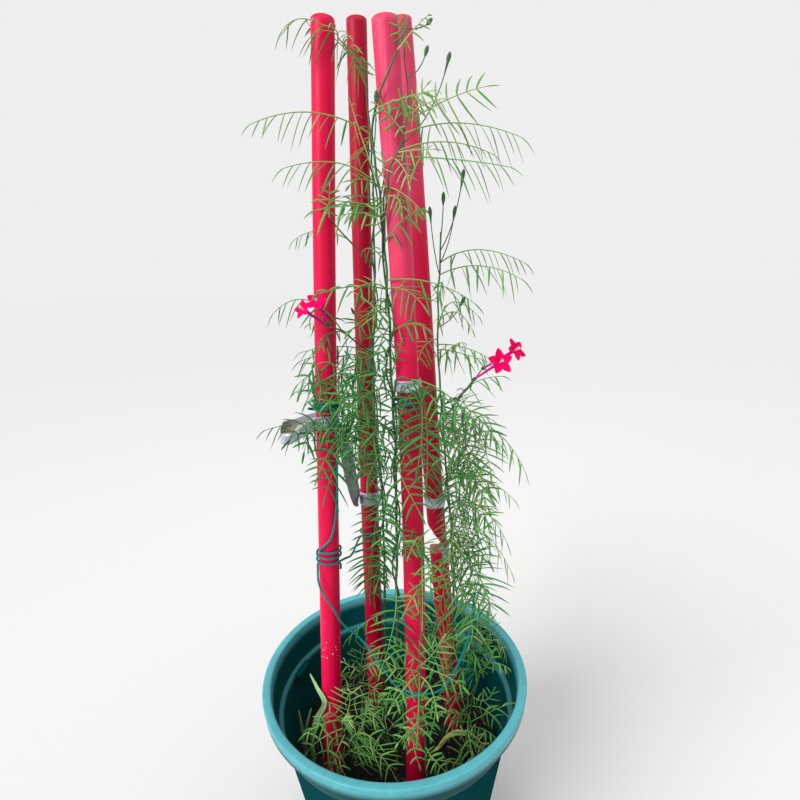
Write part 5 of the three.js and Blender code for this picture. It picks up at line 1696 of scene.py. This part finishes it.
            (0, 0.97, -92, -84, 252, 35), (0, 0.8, -66, -94, 214, 20), (0, 0.6, -24, -92, 232, 35),
            (0, 0.5, -26, -58, 262, 35), (0, 0.95, -42, -98, 284, 30),
        ],
        "more": [
            seen(341, 724, 349, 706, 349, 688, -84, 15), seen(344, 730, 364, 714, 381, 722, -88, 25),
            seen(340, 721, 329, 713, 319, 724, -86, 20), seen(345, 737, 330, 744, 331, 772, -98, 15),
            seen(348, 746, 360, 733, 378, 744, -98, 20), seen(350, 752, 372, 748, 394, 776, -106, 15),
            seen(351, 755, 340, 758, 344, 774, -98, 20), seen(354, 766, 370, 758, 378, 742, -104, 15),
            seen(343, 728, 322, 738, 308, 752, -86, 20),
        ],
        "shade": (0.72, 0.66, 0.6, 0.6, 0.6),
    },
    "vine_pot_middle": {
        "stem": [
            (-30, -8, 146), (-36, -2, 190), (-42, 2, 225), (-40, 0, 262),
        ],
        "leaves": [
            (0, 0.95, -16, -26, 282, 35), (0, 0.9, -76, 6, 268, 35), (0, 0.7, -22, -40, 222, 35),
            (0, 0.6, -72, 14, 214, 40), (0, 0.5, -18, 20, 216, 40), (0, 0.35, -56, -30, 190, 40),
        ],
        "more": [
            seen(360, 672, 362, 659, 365, 643, -6, 15), seen(360, 674, 376, 662, 393, 666, -22, 20),
            seen(360, 677, 349, 673, 338, 681, -24, 20), seen(360, 682, 373, 688, 384, 701, -26, 20),
            seen(361, 690, 352, 684, 342, 688, -26, 20), seen(369, 730, 384, 732, 400, 742, -36, 20),
            seen(366, 712, 378, 712, 392, 722, -30, 20),
        ],
        "tendrils": [[
            (-39, -2, 250), (-42, -4, 266), (-44, -4, 278), (-46, -5, 283), (-49, -4, 284), (-50, -3, 281),
            (-48, -4, 278), (-51, -5, 281), (-53, -5, 283),
        ]],
        "shade": (0.72, 0.66, 0.6, 0.6, 0.6),
    },
}
budSizes = {"stalk": 0.55, "neck": 1.15, "belly": 1.95, "length": 10.5, "tip": 0.12}

# The stems' radii and tints, at the foot and at the top. A shoot has its radii first, then its tints.
stemSizes = {
    "main": (1.6, 0.85), "mainTints": (0.35, 0.7), "shoot": (1.0, 0.6, 0.4, 0.75), "sway": 1.6, "step": 5,
    "tendril": 0.45, "tendrilTint": 0.85, "twiner": 0.85, "shadeHeights": (330, 480, 620, 700, 800),
    "shadeSpread": 0.17,
}


def stemPath(points):
    length = float(np.sum(np.linalg.norm(np.diff(np.array(points, dtype=float), axis=0), axis=1)))
    return smoothPath(points, max(12, round(length / stemSizes["step"])))


def growStem(points, thick, thin, tintLow, tintHigh):
    path = stemPath(points)
    share = np.linspace(0, 1, len(path))
    sway = np.array([(wobble(p[2], 3, 7, 0.045), wobble(5, p[2], 2, 0.045), 0.0) for p in path])
    path = path + stemSizes["sway"] * sway * np.minimum(1, 12 * share)[:, None]  # stems aren't quite straight
    knots = np.array([1 + 0.12 * wobble(*p, 0.09) for p in path])
    tint = tintLow + (tintHigh - tintLow) * share + np.array([0.15 * wobble(*p, 0.03) for p in path])
    return path, (thick + (thin - thick) * share) * knots, np.clip(tint, 0, 1)


def growTwiner(path, low, high, radius, pitch):
    # a thinner stem wound round another from one share of it to a higher one
    wound = evenly(np.array([pointAt(path, share) for share in np.linspace(low, high, 60)]), 160)
    run = np.concatenate(([0], np.cumsum(np.linalg.norm(np.diff(wound, axis=0), axis=1))))
    turns = run / pitch * 2 * math.pi
    wide = radius * (1 + 0.35 * np.sin(run * 0.031))
    ring = np.column_stack((np.cos(turns) * wide, np.sin(turns) * wide, np.zeros(len(run))))
    return wound + ring, stemSizes["twiner"], np.clip(0.35 + 0.25 * np.sin(run * 0.05), 0, 1)


def growBud(root, end, s):
    belly = (root + end) / 2 + np.array((0.2, 0.2, -0.16)) * (end - root)
    t = np.linspace(0, 1, 14)[:, None]
    stalk = arc(root, belly, end, t)
    heading = unit(stalk[-1] - stalk[-2])
    tail = [stalk[-1] + heading * s["length"] * (x - 0.5) for x in (0.08, 0.3, 0.55, 0.8, 0.94, 1.0)]
    stalk = stalk[:-2]
    path = np.vstack((stalk, tail))
    radii = [s["stalk"] * (1 - 0.2 * i / len(stalk)) for i in range(len(stalk))]
    radii += [s["neck"], *(s["belly"] * share for share in (0.86, 1, 0.78, 0.42)), s["tip"]]
    tint = [0.55] * len(stalk) + [0.66, 0.62, 0.6, 0.55, 0.5, 0.45]
    return path, radii, tint


def vineShape(table):
    # the stems as they grow, and without their sway, which the readings fit
    s = stemSizes
    main = growStem(table["stem"], *s["main"], *table.get("stemTints", s["mainTints"]))
    stems, paths = [main], [stemPath(table["stem"])]
    for share, points in table.get("shoots", []):
        stems.append(growStem([tuple(pointAt(main[0], share)), *points], *s["shoot"]))
        paths.append(stemPath([tuple(pointAt(paths[0], share)), *points]))
    return stems, paths


def leafValues(leaf, paths):
    # a leaf's stem, share, tip, fold, facing and crown, whichever way it's given
    if isinstance(leaf, dict):
        return placeSeen(leaf, paths)
    place, share, x, y, z, fold, *rest = leaf
    facing, crown = (*rest, None, None)[:2]
    if crown is not None and len(crown) == 2:
        crown = crownSeen(crown, pointAt(paths[place], share), (x, y))
    return place, share, x, y, z, fold, facing, crown


def makeVine(node, table):
    s = stemSizes
    rng = random.Random(len(node) * 7 + ord(node[5]))
    stems, paths = vineShape(table)
    strands, leafStore = list(stems), newStore()
    if "twiner" in table:
        strands.append(growTwiner(stems[0][0], *table["twiner"]))
    for points in table.get("tendrils", []):
        strands.append((smoothPath(points, 10 * len(points)), s["tendril"], s["tendrilTint"]))
    for leaf in table["leaves"] + table["more"]:
        place, share, x, y, z, fold, facing, crown = leafValues(leaf, paths)
        shade = float(np.interp(z, s["shadeHeights"], table["shade"]))
        shade += rng.uniform(-s["shadeSpread"], s["shadeSpread"])
        root, tip = pointAt(stems[place][0], share), np.array((x, y, z), dtype=float)
        growLeaf(leafStore, rng, root, tip, fold, facing, crown, shade)
    for place, share, *end in table.get("buds", []):
        strands.append(growBud(pointAt(stems[place][0], share), np.array(end, dtype=float), budSizes))
    label = camelName(node.replace("vine_", ""))
    width = leafSizes["potLobeWidth" if "pot" in node else "lobeWidth"]
    stemPiece = threadPiece(label + "VineStems", strands, stemGreen, sides=8)
    leafPiece = leafPieces(label + "VineLeaves", leafStore, featherGreen, width)
    for piece in (stemPiece, leafPiece):
        finishPiece(piece, "vine", node)
    print(node, len(stemPiece.data.polygons), len(leafPiece.data.polygons))


for node, table in vineTables.items():
    makeVine(node, table)
print("vines grown")


# The star flowers: a slender tube that opens into five pointed lobes, with a calyx and stamens.
flowerSizes = {
    "waist": 0.56, "tubeThin": 0.95, "tubeWide": 2.0, "petalThickness": 0.45, "cup": 1.6, "throat": 5.0,
    "around": 60, "tubeRows": 16, "petalRows": 14, "lobes": 5, "stamenReach": (3.2, 4.6),
    "stamenRadii": [0.14, 0.14, 0.14, 0.3, 0.42, 0.3, 0.05], "sepalRadii": [0.5, 0.85, 0.62, 0.08],
    "sepalRise": ((-0.1, 0.4), (1.6, 1.15), (3.4, 1.3), (4.8, 1.05)),
    # calyx, mouth, star radius, how far the star turns from its tube to the viewer, and its spin
    "flowers": {
        "flower_right_near": ((83.8, -42, 600.5), (106, -60, 620), 12.8, 0.9, 72),
        "flower_right_far": ((96.2, -19.8, 607), (123, -44, 628), 12.0, 0.1, 84),
        "flower_left_near": ((-47.8, -34.3, 654.2), (-65, -56, 671), 9.6, 0.1, 95),
        "flower_left_far": ((-45.9, -33.2, 655), (-55.5, -39, 677), 11.0, 1.1, 60),
    },
}


def flowerTube(s, start, end, stalk, axis, spin, radius):
    # the outer skin of the bent tube and its star, with how much each point belongs to the tube
    points, tube = [], []
    headings = [2 * math.pi * k / s["around"] for k in range(s["around"])]
    side = unit(np.cross(axis, up))
    top = np.cross(side, axis)
    elbow = end - axis * float(np.linalg.norm(end - start)) * 0.35
    for share in np.linspace(0, 1, s["tubeRows"]):
        wide = s["tubeThin"] + (s["tubeWide"] - s["tubeThin"]) * share**1.8
        centre = arc(start, elbow, end - axis * 0.4, share)
        ahead = unit(stalk + (axis - stalk) * share)
        across = unit(np.cross(ahead, up))
        above = np.cross(across, ahead)
        for a in headings:
            points.append(centre + wide * (math.cos(a + spin) * above + math.sin(a + spin) * across))
            tube.append(1.0 - 0.6 * share**4)
    for i in range(1, s["petalRows"] + 1):
        share = i / s["petalRows"]
        for a in headings:
            beat = abs(((a / (2 * math.pi) * s["lobes"]) % 1) - 0.5) * 2  # 1 at a lobe's tip
            edge = radius * (s["waist"] + (1 - s["waist"]) * beat**1.1)
            reach = s["tubeWide"] + (edge - s["tubeWide"]) * share
            ridge = 0.5 * math.cos(a * s["lobes"]) * share  # a soft fold along each lobe
            lift = s["cup"] * (1 - share) ** 2 * -0.8 + 0.9 * share**2 + 0.35 * ridge
            points.append(end + axis * lift + reach * (math.cos(a + spin) * top + math.sin(a + spin) * side))
            tube.append(0.0)
    return points, tube, top, side


def makeStar(label, s, start, end, stalk, axis, spin, radius):
    points, tube, top, side = flowerTube(s, start, end, stalk, axis, spin, radius)
    around, rings = s["around"], s["petalRows"]
    outerRows = s["tubeRows"] + rings
    for i in range(outerRows - 1, s["tubeRows"] - 1, -1):  # back down the inside, a petal's thickness in
        for source in points[i * around : (i + 1) * around]:
            shrink = unit(source - end) * (0.2 if i == outerRows - 1 else 0.0)
            points.append(source + axis * s["petalThickness"] - shrink)
            tube.append(0.0)
    for depth in (0.6, s["throat"]):
        for k in range(around):
            a = 2 * math.pi * k / around + spin
            out = math.cos(a) * top + math.sin(a) * side
            points.append(end - axis * depth + (s["tubeWide"] - s["petalThickness"]) * out)
            tube.append(0.35)
    bottom, foot, last = len(points), len(points) + 1, (outerRows + rings + 1) * around
    points += [end - axis * s["throat"], start]
    tube += [0.6, 1.0]
    faces = [tuple(reversed(f)) for f in latheFaces(outerRows + rings + 2, around)]
    faces += [(last + (k + 1) % around, last + k, bottom) for k in range(around)]
    faces += [(foot, k, (k + 1) % around) for k in range(around)]
    star = newPiece(label, points, faces, [starPetal], values={"tube": tube})
    bpy.context.view_layer.update()
    outward(star)
    return star, top, side


def stamenStrands(s, rng, end, axis, top, side):
    strands = []
    for k in range(s["lobes"]):
        a = 2 * math.pi * k / s["lobes"] + rng.random()
        lean = (math.cos(a) * top + math.sin(a) * side) * 0.9
        tip = end + axis * rng.uniform(*s["stamenReach"]) + lean
        path = [end - axis * 4 + lean * 0.5, end + lean * 0.8, tip - axis * 1.0, tip - axis * 0.6, tip]
        path += [tip + axis * 0.7, tip + axis * 0.9]
        strands.append((np.array(path), s["stamenRadii"], 0.9))
    return strands


def sepalStrands(s, start, stalk, top, side):
    strands = []
    for k in range(s["lobes"]):
        a = 2 * math.pi * k / s["lobes"]
        out = math.cos(a) * top + math.sin(a) * side
        path = [start + stalk * along + out * aside for along, aside in s["sepalRise"]]
        strands.append((np.array(path), s["sepalRadii"], 0.72))
    return strands


def makeFlower(node, s, calyx, mouth, radius, turn, spin):
    label = camelName(node)
    start, end = np.array(calyx, dtype=float), np.array(mouth, dtype=float)
    stalk = unit(end - start)
    axis = unit(stalk + turn * unit(np.array(cameraSetup["place"]) - end))  # the star's own axis
    star, top, side = makeStar(label, s, start, end, stalk, axis, math.radians(spin), radius)
    finishPiece(star, "petal", node)
    stamens = stamenStrands(s, random.Random(len(node)), end, axis, top, side)
    finishPiece(threadPiece(label + "Stamens", stamens, stamenWhite, sides=6), "petal")
    sepals = sepalStrands(s, start, stalk, top, side)
    finishPiece(threadPiece(label + "Calyx", sepals, stemGreen, sides=6), "vine")


def outward(piece):
    work = bmesh.new()
    work.from_mesh(piece.data)
    bmesh.ops.remove_doubles(work, verts=work.verts, dist=1e-7)
    bmesh.ops.recalc_face_normals(work, faces=work.faces)
    work.to_mesh(piece.data)
    work.free()


for node, values in flowerSizes["flowers"].items():
    makeFlower(node, flowerSizes, *values)
print("flowers opened")


# Weeds in the soil: each blade is (points, greatest width, twist in degrees).
weedSizes = {
    "grass_blade": {
        "foot": (-88, -52, 148),
        "blades": [
            ([(-92, -46, 200), (-84, -48, 236), (-74, -52, 262), (-82, -44, 271), (-91, -34, 281)], 6.5, 18),
        ],
    },
    "grass_tuft": {
        "foot": (-104, -30, 148),
        "blades": [
            ([(-103, -30, 185), (-100, -32, 212), (-94, -30, 232)], 4.0, 20),
            ([(-105, -28, 180), (-107, -26, 205), (-110, -22, 222)], 4.0, -20),
        ],
    },
    "seedling": {
        "foot": (-44, 26, 148),
        "blades": [([(-42, 24, 176), (-30, 22, 190), (-12, 20, 184)], 6.0, 25)],
    },
}


def bladeMesh(foot, points, widest, twist):
    rows, cols = 40, 7
    path = smoothPath([foot, *points], rows)
    view = np.array((0.0, -1.0, 0.3))
    out = []
    for share, centre, ahead in zip(np.linspace(0, 1, rows), path, np.gradient(path, axis=0)):
        ahead = unit(ahead)
        side = unit(np.cross(ahead, view))
        over = unit(np.cross(side, ahead))
        spin = math.radians(twist) * math.sin(share * 5)
        side, over = turned(side, over, spin)
        half = 0.5 + (widest / 2 - 0.4) * max(0.0, math.sin(math.pi * max(0.0, share - 0.08) / 0.92)) ** 0.8
        for hand, narrow in ((1, 1), (-1, 0.98)):  # the upper skin, then back along the lower one
            for x in np.linspace(-hand, hand, cols):
                out.append(centre + side * half * x * narrow + over * (0.22 * half * (x * x) + 0.16 * hand))
    return out, ringFaces(rows, 2 * cols)


for node, table in weedSizes.items():
    points, faces = [], []
    for route, widest, twist in table["blades"]:
        blade, sides = bladeMesh(table["foot"], route, widest, twist)
        faces += [tuple(len(points) + v for v in f) for f in sides]
        points += blade
    weed = newPiece(camelName(node) + "Weed", points, faces, [paleBlade])
    outward(weed)
    finishPiece(weed, "weed", node)


# The fallen leaf has dried and rolled up along its rib, with a few lobes still spread at its end.
fallenLeaf = {
    "route": [(38, -36), (46, -34), (56, -30), (68, -27), (82, -27), (94, -28)],
    "lifts": (10.0, 16.0, 24.0, 28.0, 26.0, 20.0),
    "strands": 16, "roll": 2.6, "thick": 0.95, "fold": 25, "shade": 0.7,
}


def makeFallenLeaf(s):
    rng = random.Random(21)
    spots = zip(s["route"], s["lifts"])
    spine = smoothPath([(x, y, soilHeightAt(x, y) + lift) for (x, y), lift in spots], 60)
    share = np.linspace(0, 1, 60)
    strands = []
    for _ in range(s["strands"]):
        low, high = sorted((rng.randrange(0, 22), rng.randrange(34, 60)))
        turns = rng.uniform(0, 6.28) + share * rng.uniform(2, 7)
        out = s["roll"] * np.sin(math.pi * (0.12 + 0.8 * share)) * rng.uniform(0.5, 1.1)
        offset = np.column_stack((0.3 * np.sin(turns * 2), np.cos(turns), np.sin(turns))) * out[:, None]
        thick = s["thick"] * rng.uniform(0.7, 1.2)
        strands.append(((spine + offset)[low:high], thick, rng.uniform(0.1, 1.0)))
    strands.append((spine, 0.9, 0.5))
    rolled = threadPiece("fallenLeafOnSoil", strands, wiltedYellow, sides=6)
    store = newStore()
    tip = spine[-1] + np.array((6.0, -7.0, -8.0))
    growLeaf(store, rng, spine[34], tip, s["fold"], viewer, spine[52], s["shade"])
    return joined(rolled, leafPieces("fallenLeafLobes", store, wiltedYellow, 0.9))


finishPiece(makeFallenLeaf(fallenLeaf), "dry_leaf", "fallen_leaf")
print("weeds and fallen leaf laid")

bpy.data.objects.remove(lobe)
